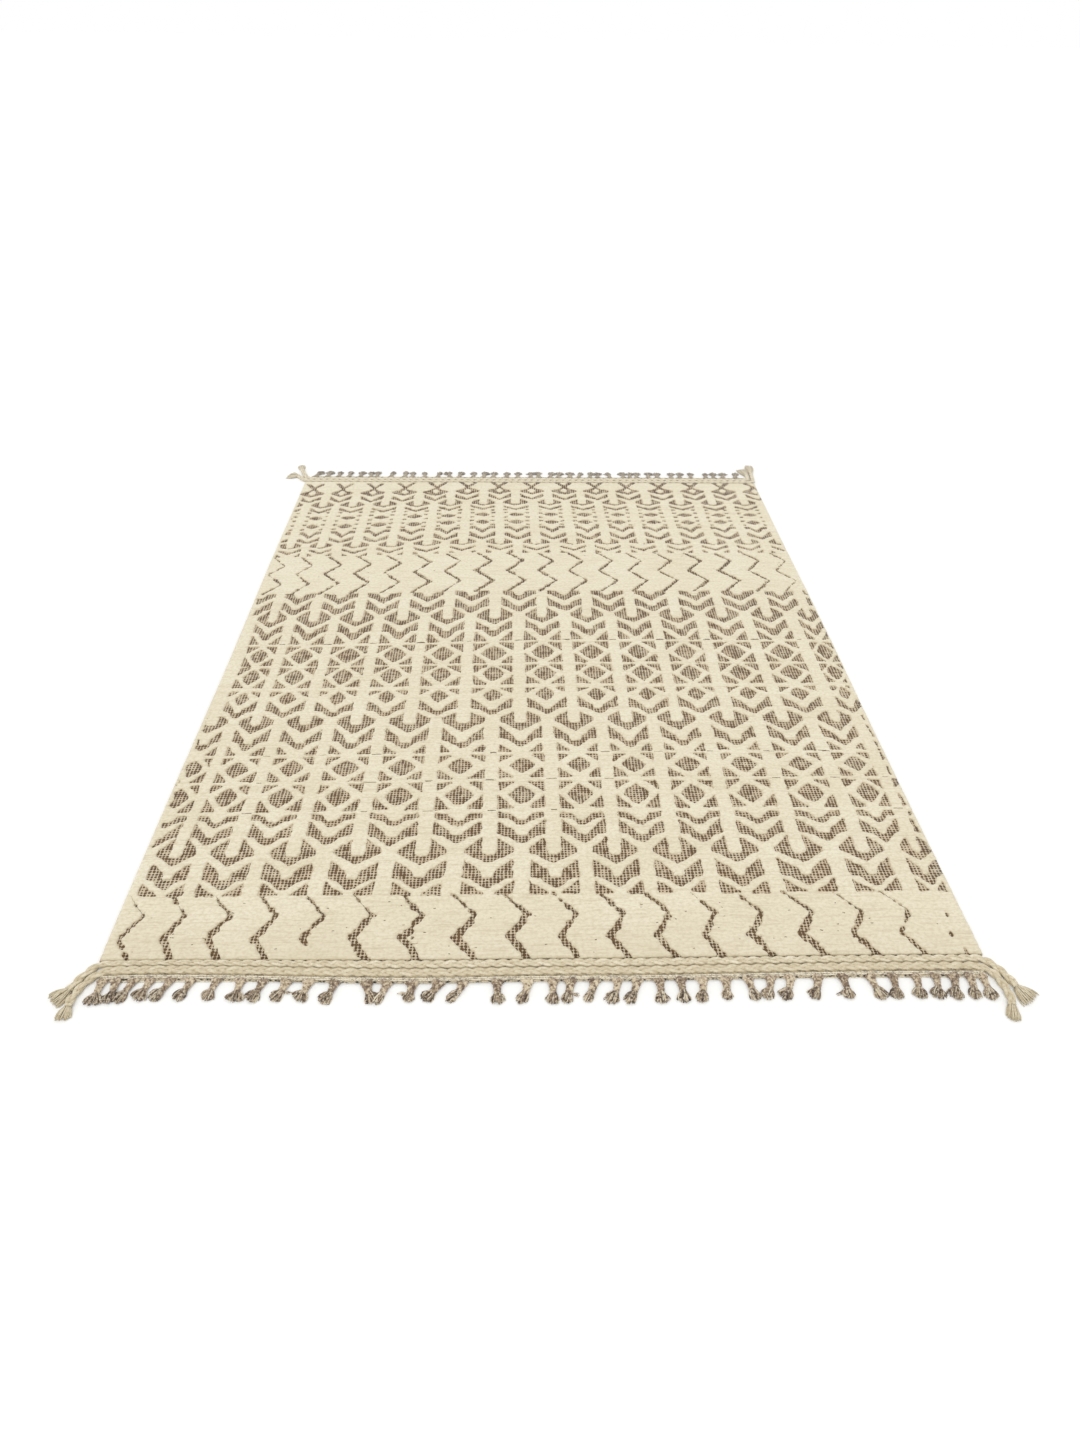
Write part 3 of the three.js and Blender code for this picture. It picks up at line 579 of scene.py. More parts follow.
def pile_patch(j0, j1):
    """The pile between two rows of the grid: its nap, rolled over at the edges, and its walls."""
    x, y, z, inward = (grid[j0:j1 + 1] for grid in (knot_x, knot_y, pile_z, pile))
    slant_x, slant_y = (slope_x / steep)[j0:j1 + 1], (slope_y / steep)[j0:j1 + 1]
    stands = inward > 0
    rows, columns = inward.shape
    number = np.full(inward.shape, -1)
    number[stands] = np.arange(stands.sum())
    points = [np.stack([x[stands], y[stands], z[stands]], 1)]
    total = int(stands.sum())
    rims, feet = [], []
    for dj, di in ((0, 1), (1, 0)):
        here = (slice(0, rows - dj), slice(0, columns - di))
        there = (slice(dj, rows), slice(di, columns))
        cut = stands[here] != stands[there]
        share = np.clip(inward[here][cut] / (inward[here][cut] - inward[there][cut]), *CUT_SHARES)

        def at_cut(grid):
            return grid[here][cut] * (1 - share) + grid[there][cut] * share

        rim = np.full(inward.shape, -1)
        foot = np.full(inward.shape, -1)
        amount = int(cut.sum())
        rim[here][cut] = total + np.arange(amount)
        foot[here][cut] = total + amount + np.arange(amount)
        px, py = at_cut(x), at_cut(y)
        rim_z = PILE_TOP - NAP_FALL + (at_cut(z) - PILE_TOP) * RIM_FOLLOWS
        points.append(np.stack([px, py, rim_z], 1))
        px, py = px - at_cut(slant_x) * WALL_SPLAY, py - at_cut(slant_y) * WALL_SPLAY
        points.append(np.stack([px, py, px * 0 + PILE_FOOT], 1))
        total += 2 * amount
        rims.append(rim)
        feet.append(foot)
    # corner numbers, counter-clockwise, and the cut edge that follows each corner
    corners = [number[:-1, :-1], number[:-1, 1:], number[1:, 1:], number[1:, :-1]]
    first, second = slice(0, -1), slice(1, None)
    edges = [(0, (first, first)), (1, (first, second)), (0, (second, first)), (1, (first, first))]
    rim_of = [rims[kind][place] for kind, place in edges]
    foot_of = [feet[kind][place] for kind, place in edges]
    case = sum((corner >= 0).astype(int) << bit for bit, corner in enumerate(corners))
    # each square of four knots is filled by which of them stand; two that stand across it stay apart
    triangles = []
    for value in range(1, 16):
        at = case == value
        if not at.any():
            continue
        inside = [bool(value >> bit & 1) for bit in range(4)]
        if value in (5, 10):
            loops = []
            for bit in (0, 1, 2, 3):
                if inside[bit]:
                    loops.append([("rim", (bit + 3) % 4), ("corner", bit), ("rim", bit)])
        else:
            loop = []
            for bit in range(4):
                if inside[bit]:
                    loop.append(("corner", bit))
                if inside[bit] != inside[(bit + 1) % 4]:
                    loop.append(("rim", bit))
            loops = [loop]
        for loop in loops:
            picked = [(corners if kind == "corner" else rim_of)[bit][at] for kind, bit in loop]
            for step in range(1, len(picked) - 1):
                triangles.append(np.stack([picked[0], picked[step], picked[step + 1]], 1))
            for step, (kind, bit) in enumerate(loop):
                kind_after, bit_after = loop[(step + 1) % len(loop)]
                if kind == "rim" and kind_after == "rim":
                    a, b = rim_of[bit][at], rim_of[bit_after][at]
                    c, d = foot_of[bit_after][at], foot_of[bit][at]
                    triangles += [np.stack([b, a, d], 1), np.stack([b, d, c], 1)]
    return np.concatenate(points), np.concatenate(triangles)


# Cut wool pile: dry fibre ends with no gloss, a little darker between the rows of knots, and with painted
# shade down the walls of its hollows.
# Single knots are too fine to show at this distance, so their mottle is drawn 4 to 11 mm wide.
pile_wool, tree, shader = wool("ivory_cut_wool_pile", 0.95, 0.25)
broad = add(tree, "ShaderNodeTexNoise", {"Vector": millimetres(tree, 260, 180, 260), "Scale": 1, "Detail": 2})
fibre = add(tree, "ShaderNodeTexNoise", {
    "Vector": millimetres(tree, 5, 4, 5), "Scale": 1, "Detail": 4, "Roughness": 0.7,
}).outputs["Fac"]
streak = add(tree, "ShaderNodeTexNoise", {
    "Vector": millimetres(tree, 70, 6, 20), "Scale": 1, "Detail": 3, "Roughness": 0.65,
}).outputs["Fac"]
tuft = add(tree, "ShaderNodeTexNoise", {
    "Vector": millimetres(tree, 11, 8, 11), "Scale": 1, "Detail": 3, "Roughness": 0.6,
}).outputs["Fac"]
tone = add(tree, "ShaderNodeMix", {
    "Factor": broad.outputs["Fac"], "A": from_hex("DCD2B5"), "B": from_hex("ECE4CF"),
}, data_type="RGBA").outputs["Result"]
streak_share = add(tree, "ShaderNodeMapRange", {
    "Value": streak, "From Min": 0.5, "From Max": 0.74, "To Min": 0, "To Max": 0.45,
}).outputs["Result"]
# more of the darker streak colour toward the near end
near_end_streaks = add(tree, "ShaderNodeMapRange", {
    "Value": rug_axis(tree, "Y"), "From Min": -1350, "From Max": -1500, "To Min": 0, "To Max": 0.14,
}).outputs["Result"]
streak_share = add(tree, "ShaderNodeMath", {0: streak_share, 1: near_end_streaks}, operation="ADD").outputs[0]
tone = add(tree, "ShaderNodeMix", {
    "Factor": streak_share, "A": tone, "B": from_hex("B5A27C"),
}, data_type="RGBA").outputs["Result"]
tone = dyed(tree, tone, "C2B494", tuft, (0.42, 0.72), (0, 0.55))
# painted shade: the nap is painted darker as it rolls down into a hollow and down the hollow's walls, below
# 8.6 mm
tone = dyed(tree, tone, "B3A27C", rug_axis(tree, "Z"), (8.6, 4.6), (0, 0.6))
pile_bump = add(tree, "ShaderNodeBump", {"Height": fibre, "Distance": 2.2 * MM, "Strength": 0.55})
row_bump = add(tree, "ShaderNodeBump", {
    "Height": streak, "Distance": 2.5 * MM, "Strength": 0.35, "Normal": pile_bump.outputs["Normal"],
})
tree.links.new(tone, shader.inputs["Base Color"])
tree.links.new(row_bump.outputs["Normal"], shader.inputs["Normal"])

# Each band is a piece of its own, with how far below the far edge it starts
PILE_BANDS = {
    "pile_prong_band": -20, "pile_far_zigzags": 790, "pile_lattice_far": 1120,
    "pile_lattice_middle": 1700, "pile_lattice_near": 2270, "pile_near_zigzags": 2835,
}
row_starts = [int(np.searchsorted(grid_y, FIELD_LONG / 2 - down)) for down in PILE_BANDS.values()] + [0]
row_starts[0] = len(grid_y) - 1
for name, far_row, near_row in zip(PILE_BANDS, row_starts, row_starts[1:]):
    piece_of(name, *pile_patch(near_row, far_row), pile_wool, "pile", flat_map=True)
    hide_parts("rug_field")

# End cords
# Two ivory three-strand plaits lie side by side along each end, sewn to the ground's edge.
# At the corners they run on as loose tails, and their cut ends open into brushes.

# how far the middles of the inner and outer cord lie past the pile, and above the floor
INNER_OUT = 15.3
OUTER_OUT = 40.6
CORD_MIDDLE = 7
PLAIT_PERIOD = 104
PLAIT_SWING = 6.8
PLAIT_RISE = 2.3
STRAND_WIDE = 5.3
STRAND_HIGH = 4.6
STRAND_SIDES = 8
PLAIT_STEP = 6
# the sizes above are those of a cord this wide, and other widths are in proportion
CORD_FULL_WIDTH = 24
TAIL_SEED = 40
# a tail is this wide and its strands rise a little more, and the cord comes to that over TAPER
TAIL_WIDTH = 24
TAIL_RISE = 1.2
TAPER = 30
RUN_PLACES = 60

# (name, end, how far out, width, left tail, right tail). A tail is a row of places, as
# millimetres past the field's side and past its end, and last the tip and width of its brush.
CORDS = [
    ("near_inner_cord", -1, INNER_OUT, 24,
     [(-4, 19), (11, 32), (24, 47), (36, 65), (47, 87), (80, 121, 56)],
     [(3, 27), (17, 42), (30, 62), (41, 84), (50, 106), (78, 148, 62)]),
    ("near_outer_cord", -1, OUTER_OUT, 26,
     [(-12, 50), (6, 66), (19, 84), (27, 104), (31, 124), (32, 140), (36, 176, 42)],
     [(-10, 51), (5, 66), (13, 88), (18, 112), (19, 138), (14, 162), (0, 204, 34)]),
    ("far_inner_cord", 1, INNER_OUT, 24,
     [(4, 22), (18, 36), (32, 51), (44, 64), (56, 76), (110, 92, 84)],
     [(-3, 23), (0, 42), (2, 66), (4, 92), (7, 118), (10, 144), (20, 244, 48)]),
    ("far_outer_cord", 1, OUTER_OUT, 26,
     [(-6, 47), (6, 62), (18, 84), (28, 108), (38, 134), (46, 158), (65, 222, 40)],
     [(-28, 46), (-24, 61), (-22, 84), (-22, 108), (-32, 194, 68)]),
]

# A cut yarn has few points and sides. It varies in length and thickness, and strays and curls.
YARN_POINTS = 6
YARN_SIDES = 4
YARN_REACH = (0.78, 1.06)
YARN_SIZES = (0.8, 1.2)
YARN_STRAY = 0.15
YARN_CURL = 1.8
YARN_WAVE = 5
YARN_LOWEST = 1.6
# a spray opens as a sine does over a quarter turn, and its yarns sink, thin and lie a little flat
SPRAY_TURN = 1.57
SPRAY_SINKS = 0.6
YARN_THINS = 0.3
YARN_FLAT = 0.9
YARN_RESTS = 0.95


def through(points, step):
    """Points one step apart along the smooth curve through the given ones."""
    points = np.asarray(points, float)
    padded = np.vstack([2 * points[0] - points[1], points, 2 * points[-1] - points[-2]])
    fine = []
    for p0, p1, p2, p3 in zip(padded, padded[1:], padded[2:], padded[3:]):
        for t in np.arange(8) / 8:
            fine.append(0.5 * (2 * p1 + (p2 - p0) * t + (2 * p0 - 5 * p1 + 4 * p2 - p3) * t * t
                               + (3 * p1 - p0 - 3 * p2 + p3) * t ** 3))
    fine = np.array([*fine, points[-1]])
    run = np.concatenate([[0], np.cumsum(np.hypot(*np.diff(fine[:, :2], axis=0).T))])
    at = np.linspace(0, run[-1], max(2, int(round(run[-1] / step)) + 1))
    return np.stack([np.interp(at, run, column) for column in fine.T], 1), at


def tube(centre, wide, high, sides, spin=0.0):
    """A closed yarn round a line of points, with its half width and half height at each."""
    ahead = np.gradient(centre, axis=0)
    ahead /= np.linalg.norm(ahead, axis=1)[:, None] + 1e-9
    across = np.cross(ahead, [0, 0, 1.0])
    across /= np.linalg.norm(across, axis=1)[:, None] + 1e-9
    up = np.cross(across, ahead)
    turn = np.linspace(0, 2 * math.pi, sides, endpoint=False) + spin
    wide, high = np.broadcast_to(wide, len(centre)), np.broadcast_to(high, len(centre))
    ring = (centre[:, None] + np.cos(turn)[None, :, None] * (across * wide[:, None])[:, None]
            + np.sin(turn)[None, :, None] * (up * high[:, None])[:, None])
    points = ring.reshape(-1, 3)
    number = np.arange(len(points)).reshape(len(centre), sides)
    a, b = number[:-1], np.roll(number[:-1], -1, 1)
    c, d = np.roll(number[1:], -1, 1), number[1:]
    skin = [np.stack([corner.ravel() for corner in half], 1) for half in ((a, c, b), (a, d, c))]
    caps = [[number[0, 0], number[0, k], number[0, k + 1]] for k in range(1, sides - 1)]
    caps += [[number[-1, 0], number[-1, k + 1], number[-1, k]] for k in range(1, sides - 1)]
    return points, np.concatenate([*skin, np.array(caps)])


def gather(parts):
    """Several meshes as the points and triangles of one."""
    start = np.cumsum([0] + [len(points) for points, _ in parts])
    points, triangles = zip(*parts)
    return np.concatenate(points), np.concatenate([t + s for t, s in zip(triangles, start)])


def plait(path, at, scale, middle, period, swing, rise, wide, high, sides, phase):
    """Three strands laid over each other along a path. Scale narrows the plait along it."""
    ahead = np.gradient(path, axis=0)
    ahead /= np.linalg.norm(ahead, axis=1)[:, None] + 1e-9
    across = np.stack([ahead[:, 1], -ahead[:, 0], ahead[:, 0] * 0], 1)
    made = []
    for strand in range(3):
        angle = 2 * math.pi * (at / period + strand / 3) + phase
        centre = path + across * (swing * scale * np.sin(angle))[:, None]
        centre[:, 2] = middle + rise * np.sin(2 * angle)
        made.append(tube(centre, wide * scale, high * np.sqrt(scale), sides))
    return made


def brush(root, tip, root_wide, tip_wide, high, yarns, thick, rounded, rng):
    """A spray of cut yarns from a root to its tip, on the floor; its end is flat or rounded."""
    root, tip = np.asarray(root, float), np.asarray(tip, float)
    ahead = tip - root
    length = np.hypot(*ahead[:2])
    ahead /= length
    across = np.array([ahead[1], -ahead[0]])
    share = np.linspace(0, 1, YARN_POINTS)
    fan = np.sin(share * SPRAY_TURN)
    made = []
    for index in range(yarns):
        spread = -1 + 2 * (index + 0.5) / yarns + rng.uniform(-YARN_STRAY, YARN_STRAY)
        layer = rng.uniform(0, 1)
        reach = length * (1 - rounded * spread * spread) * rng.uniform(*YARN_REACH)
        side = spread * (root_wide * (1 - fan) + tip_wide * fan) / 2
        side = side + rng.uniform(-1, 1) * YARN_CURL * np.sin(share * YARN_WAVE)
        x = root[0] + ahead[0] * reach * share + across[0] * side
        y = root[1] + ahead[1] * reach * share + across[1] * side
        dome = np.sqrt(np.clip(1 - spread * spread, 0.05, 1)) * (1 - SPRAY_SINKS * share ** 3)
        z = YARN_LOWEST + (high - 2 * YARN_LOWEST) * layer * dome
        size = thick * rng.uniform(*YARN_SIZES) * (1 - YARN_THINS * share ** 4)
        z = np.maximum(z, size * YARN_RESTS)
        made.append(tube(np.stack([x, y, z], 1), size, size * YARN_FLAT, YARN_SIDES, rng.uniform(0, 1)))
    return made


# Plaited wool yarn: round soft strands, darker in the grooves between them by painted shade. Its single
# twists are too fine to show at this distance, so they are drawn as flecks 5 to 16 mm long.
cord_wool, tree, shader = wool("ivory_plaited_wool", 0.94, 0.2)
island = add(tree, "ShaderNodeNewGeometry").outputs["Random Per Island"]
soil = add(tree, "ShaderNodeTexNoise", {"Vector": millimetres(tree, 60, 60, 60), "Scale": 1, "Detail": 2})
twist = add(tree, "ShaderNodeTexNoise", {
    "Vector": millimetres(tree, 11, 5, 5), "Scale": 1, "Detail": 4, "Roughness": 0.7,
}).outputs["Fac"]
patches = add(tree, "ShaderNodeTexNoise", {
    "Vector": millimetres(tree, 16, 9, 12), "Scale": 1, "Detail": 2, "Roughness": 0.6,
}).outputs["Fac"]
tone = add(tree, "ShaderNodeMix", {
    "Factor": soil.outputs["Fac"], "A": from_hex("DFD4B8"), "B": from_hex("F2EAD6"),
}, data_type="RGBA").outputs["Result"]
strand_share = add(tree, "ShaderNodeMath", {0: island, 1: 0.5}, operation="MULTIPLY").outputs[0]
tone = add(tree, "ShaderNodeMix", {
    "Factor": strand_share, "A": tone, "B": from_hex("BFAF8E"),
}, data_type="RGBA").outputs["Result"]
tone = dyed(tree, tone, "A3926F", patches, (0.52, 0.7), (0, 0.6))
# painted shade: the strands are painted darker low down, below 10.5 mm, in the grooves between them
tone = dyed(tree, tone, "A39370", rug_axis(tree, "Z"), (10.5, 6), (0, 0.38))
tone = dyed(tree, tone, "BDAE8C", twist, (0.36, 0.6), (0.6, 0))
# painted light: the cords are painted paler and greyer toward the far end, where more light falls
tone = dyed(tree, tone, "E9E5DC", rug_axis(tree, "Y"), (0, 1500), (0, 0.2))
cord_bump = add(tree, "ShaderNodeBump", {"Height": twist, "Distance": 1.5 * MM, "Strength": 0.6})
tree.links.new(tone, shader.inputs["Base Color"])
tree.links.new(cord_bump.outputs["Normal"], shader.inputs["Normal"])


def tail_place(side, end, row):
    """The place on the rug of a row of a tail, which is given from the field's corner."""
    return side * (FIELD_WIDE / 2 + row[0]), end * (FIELD_LONG / 2 + row[1]), 0.0


for order, (name, end, out, width, left, right) in enumerate(CORDS):
    rng = np.random.default_rng(TAIL_SEED + order)
    start = -FIELD_WIDE / 2 - left[0][0] + width
    finish = FIELD_WIDE / 2 + right[0][0] - width
    route = [tail_place(-1, end, row) for row in left[-2::-1]]
    route += [(x, end * (FIELD_LONG / 2 + out), 0.0) for x in np.linspace(start, finish, RUN_PLACES)]
    route += [tail_place(1, end, row) for row in right[:-1]]
    path, at = through(route, PLAIT_STEP)
    on_run = np.clip((FIELD_WIDE / 2 - np.abs(path[:, 0])) / TAPER, 0, 1)
    scale = (TAIL_WIDTH + (width - TAIL_WIDTH) * on_run) / CORD_FULL_WIDTH
    rise = PLAIT_RISE + (1 - on_run) * TAIL_RISE
    made = plait(path, at, scale, CORD_MIDDLE, PLAIT_PERIOD, PLAIT_SWING, rise,
                 STRAND_WIDE, STRAND_HIGH, STRAND_SIDES, phase=order)
    for side, rows in ((-1, left), (1, right)):
        root, tip = (tail_place(side, end, row) for row in rows[-2:])
        made += brush(root, tip, root_wide=19, tip_wide=rows[-1][2], high=13, yarns=44, thick=1.9,
                      rounded=0.08, rng=rng)
    piece_of(name + "_plait", *gather(made), cord_wool, "cord")
    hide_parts(name)

# Brown flecks
# Wisps of the brown ground yarn worked up between the knots: short dashes where a row ends
# on a plain bar, and small flecks in the plain bands. They lie half sunk in the nap.

# (down, column, fewest and most on one bar, half thickness)
BAR_DASH_ROWS = [(1507, 0, 1, 4, 1.7), (2199, 1, 0, 2, 1.1), (2336, 1, 0, 2, 1.1), (2483, 1, 0, 2, 1.1)]
BARS_ACROSS = 12
DASH_HALF = (9, 18)
DASH_OFF_BAR = 7
DASH_OFF_ROW = 2
# the clearest ones in the near band: (across, down, length)
CLEAR_FLECKS = [
    (-338, 2977, 9), (-336, 2979, 9), (-337, 2982, 6), (-338, 2984, 8), (-330, 2999, 16),
    (-352, 3000, 14), (-60, 2870, 7), (640, 2905, 6), (1150, 2950, 6), (-900, 2870, 6),
]
# the others: how many, the plain bands and their shares, where in a band, and half the length
PLAIN_FLECKS = 90
PLAIN_BANDS = [PILE_BANDS["pile_near_zigzags"], PILE_BANDS["pile_far_zigzags"]]
PLAIN_SHARES = [0.7, 0.3]
FLECKS_ACROSS = (-1180, 1180)
FLECKS_DOWN = (15, 205)
FLECK_HALF = (1.5, 3.5)
FLECK_THICK = 1.1
# a wisp bends every WISP_BEND, and strays in the nap and in its own thickness
WISP_BEND = 12
WISP_STRAY = (-1.2, 1.2)
WISP_LIES = (-0.2, 0.5)
WISP_SIZES = (0.7, 1.3)
WISP_HIGH = 0.6
WISP_SEED = 31

# Brown wisps: loose undyed yarn, seen dark between the ivory knots.
wisp_wool, tree, shader = wool("brown_wool_wisps", 0.97, 0.1)
island = add(tree, "ShaderNodeNewGeometry").outputs["Random Per Island"]
tone = add(tree, "ShaderNodeMix", {
    "Factor": island, "A": from_hex("4C3A27"), "B": from_hex("94815F"),
}, data_type="RGBA").outputs["Result"]
tree.links.new(tone, shader.inputs["Base Color"])


def wisp(across_from, down_from, across_to, down_to, rng, thick):
    """One wisp of yarn lying on the nap between two charted places."""
    count = 3 + int(math.hypot(across_to - across_from, down_to - down_from) / WISP_BEND)
    line = wander(np.linspace(across_from, across_to, count), np.linspace(down_from, down_to, count))
    line = line + rng.uniform(*WISP_STRAY, line.shape)
    row = np.searchsorted(grid_y, line[:, 1]).clip(0, len(grid_y) - 1)
    column = np.searchsorted(grid_x, line[:, 0]).clip(0, len(grid_x) - 1)
    z = pile_z[row, column] + rng.uniform(*WISP_LIES, count)
    return tube(np.column_stack([line, z]), thick * rng.uniform(*WISP_SIZES), WISP_HIGH, YARN_SIDES)


def level_wisp(middle, down, half, rng, thick=FLECK_THICK):
    """A wisp that lies across the rug."""
    return wisp(middle - half, down, middle + half, down, rng, thick)


rng = np.random.default_rng(WISP_SEED)
made = [level_wisp(at, down, long / 2, rng) for at, down, long in CLEAR_FLECKS]
for row, column, fewest, most, thick in BAR_DASH_ROWS:
    for index in range(BARS_ACROSS):
        bar = LATTICE["first"] + (index + column / 2) * LATTICE["pitch"]
        for _ in range(rng.integers(fewest, most + 1)):
            middle = bar + rng.uniform(-DASH_OFF_BAR, DASH_OFF_BAR)
            down = row + rng.uniform(-DASH_OFF_ROW, DASH_OFF_ROW)
            made.append(level_wisp(middle, down, rng.uniform(*DASH_HALF), rng, thick))
for _ in range(PLAIN_FLECKS):
    band_top = rng.choice(PLAIN_BANDS, p=PLAIN_SHARES)
    middle = rng.uniform(*FLECKS_ACROSS)
    down = band_top + rng.uniform(*FLECKS_DOWN)
    made.append(level_wisp(middle, down, rng.uniform(*FLECK_HALF), rng))
# the far zigzags, and the start of the near ones, are drawn by a thin line of one brown yarn:
# (turns, boldness, half thickness)
ZIGZAG_LINES = [(NEAR_ZIGZAG[:3], NEAR_BOLD, 0.7), (FAR_ZIGZAG, FAR_BOLD, 1.1)]
for rows, boldness, thick in ZIGZAG_LINES:
    for index, bold in enumerate(boldness):
        turn = ZIGZAG["first"] + index * ZIGZAG["pitch"]
        for (down_a, left_a, _), (down_b, left_b, _) in zip(rows, rows[1:]):
            made.append(wisp(turn - left_a, down_a, turn - left_b, down_b, rng, thick * min(1, bold)))
wisps = piece_of("brown_flecks", *gather(made), wisp_wool, "pile")
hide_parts("rug_field")

# Heading strips
# The warps run on under the cords as a thin web, and past them a narrow strip is twined in
# ivory wool with a brown row at its edge. It holds the roots of the tassels, and a brown
# thread lies in the seam beside the pile at the near end.

# the web's two edges, past the field's end
WEB = [4, 71.7]
WEB_HIGH = 3.4
# twined rows: (how far out, thickness, whether brown); a row's middle is this far above the floor
TWINED_ROWS = [(56.8, 2.9, False), (62.6, 2.9, False), (68.6, 2.8, True)]
TWINE_MIDDLE = 4.6
TWINE_PERIOD = 16
TWINE_STEP = 4
# the sewing yarn: how far out, its middle, its thickness, how deep its lobes run, and how far
# apart, and how far it stops from the ends of the strip
SEWN_AT = [28.5, 52.4]
SEWN_MIDDLE = 8.7
SEWN_THICK = 1.8
SCALLOP = 3.4
SCALLOP_PERIOD = 34.7
SEWN_INSET = 6
# the thread in the seam, past the pile's near end
SEAM_OUT = 1.6
SEAM_MIDDLE = 5.6
SEAM_THICK = 0.8
SEAM_INSET = 4
# (name, end, how far the strip stops short of the field's left and right side, turn of the twining)
FRINGES = [
    ("near_fringe", -1, 20, 19, 0.7),
    ("far_fringe", 1, 20, 38, 2.2),
]
# a strand swings and is thick by these shares of its row, and a lobe dips by a share of its depth
TWINE_SWING = 0.45
TWINE_PLY = 0.66
SCALLOP_DIP = 0.35

# Twined wool: ivory yarn with brown specks where the ground's brown warps come up through it.
heading_wool, tree, shader = wool("twined_ivory_wool", 0.95, 0.15)
specks = add(tree, "ShaderNodeTexNoise", {
    "Vector": millimetres(tree, 9, 5, 9), "Scale": 1, "Detail": 2, "Roughness": 0.6,
}).outputs["Fac"]
tone = dyed(tree, from_hex("EFE6D0"), "6F5A45", specks, (0.5, 0.6), (0, 0.5))
tree.links.new(tone, shader.inputs["Base Color"])

# Twined brown wool: the same yarn from a brown fleece, with ivory showing between its strands.
brown_wool, tree, shader = wool("twined_brown_wool", 0.96, 0.12)
specks = add(tree, "ShaderNodeTexNoise", {"Vector": millimetres(tree, 9, 6, 8), "Scale": 1, "Detail": 3})
tone = dyed(tree, from_hex("33281F"), "CBBC9F", specks.outputs["Fac"], (0.38, 0.52), (0, 1))
tree.links.new(tone, shader.inputs["Base Color"])

# Tan sewing yarn: greyer than the cords, so that each stitch reads as a small shadow.
sewing_wool, tree, shader = wool("tan_sewing_yarn", 0.96, 0.1)
dust = add(tree, "ShaderNodeTexNoise", {"Vector": millimetres(tree, 22, 10, 10), "Scale": 1, "Detail": 2})
tone = dyed(tree, from_hex("7B6A50"), "BFAF8C", dust.outputs["Fac"], (0.38, 0.52), (0, 1))
tree.links.new(tone, shader.inputs["Base Color"])


def twine(x0, x1, y, middle, thick, phase, scallop=0):
    """Two strands turning round each other along a row, which may run in and out and dip in lobes."""
    x = np.arange(x0, x1, TWINE_STEP)
    swing, ply = thick * TWINE_SWING, thick * TWINE_PLY
    made = []
    for strand in range(2):
        angle = 2 * math.pi * x / TWINE_PERIOD + math.pi * strand + phase
        lobe = math.pi * x / SCALLOP_PERIOD + phase
        row = y + scallop * (np.abs(np.sin(lobe)) - 0.5)
        height = middle + abs(scallop) * SCALLOP_DIP * np.cos(2 * lobe)
        line = np.stack([x, row + swing * np.sin(angle), height + swing * np.cos(angle)], 1)
        made.append(tube(line, ply, ply, YARN_SIDES))
    return made


for name, end, short_left, short_right, turn in FRINGES:
    x0 = -FIELD_WIDE / 2 + short_left
    x1 = FIELD_WIDE / 2 - short_right
    ivory, brown, sewing = [], [], []
    for out, thick, is_brown in TWINED_ROWS:
        row = twine(x0, x1, end * (FIELD_LONG / 2 + out), TWINE_MIDDLE, thick, turn + out)
        (brown if is_brown else ivory).extend(row)
    if end < 0:
        half = FIELD_WIDE / 2 - SEAM_INSET
        brown += twine(-half, half, -FIELD_LONG / 2 - SEAM_OUT, SEAM_MIDDLE, SEAM_THICK, turn)
    for out in SEWN_AT:
        sewing += twine(x0 + SEWN_INSET, x1 - SEWN_INSET, end * (FIELD_LONG / 2 + out),
                        SEWN_MIDDLE, SEWN_THICK, turn + out, scallop=SCALLOP * end)
    edges = [end * (FIELD_LONG / 2 + out) for out in WEB]
    box = [(x, y, z) for x in (x0, x1) for y in sorted(edges) for z in (0, WEB_HIGH)]
    sides = [(0, 2, 3, 1), (4, 5, 7, 6), (0, 1, 5, 4), (2, 6, 7, 3), (0, 4, 6, 2), (1, 3, 7, 5)]
    tape = (np.array(box), np.array([t for a, b, c, d in sides for t in ((a, b, c), (a, c, d))]))
    for kind, parts, yarn in (
        ("_heading", [tape, *ivory], heading_wool),
        ("_brown_row", brown, brown_wool),
        ("_sewing_yarn", sewing, sewing_wool),
    ):
        piece = piece_of(name.split("_")[0] + kind, *gather(parts), yarn, "heading")
        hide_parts(name)

# Tassels
# Each is a bundle of grey-brown wool and goat yarn, plaited for over half of its length.
# Its root is worked into the heading, and past the plait its cut yarns fan out on the floor.

TASSEL_OUT = 71.9
TASSEL_LONG = 64
STEM_LONG = 38
STEM_PLACES = (-5, 8, 22, STEM_LONG)
STEM_STEP = 3.6
# the plait starts thick where it leaves the heading: (along, share of its full size)
STEM_TAPER = [(0, 2.4), (10, 1.5), (24, 1.2), (STEM_LONG + 5, 1.1)]
# a tassel bends to the side by its sway more and more toward its tip, and its brush leans on
SWAY_EASE = 1.3
LEAN_ON = 0.25
# the brush and the loose yarns start this far up the plait
BRUSH_UP = 6
STRAY_UP = 4
# how the tassels vary: length, thickness, spread of the cut ends, and where their tips lie
LENGTHS_VARY = (-3, 3)
THICKNESSES = (0.92, 1.12)
SPREADS = (0.75, 1.2)
TIPS_VARY = (-4, 4)
BRUSH_WIDE = 37
# the far tassels are longer and fuller than the near ones at the rug's middle
FAR_LONGER = 8
FAR_BREADTH = 1.12
# a few yarns of some tassels have worked loose, and lie this far to one side
STRAY_SHARE = 0.25
STRAY_ASIDE = 34
STRAY_PAST = (-4, 14)
TASSEL_SEED = 70

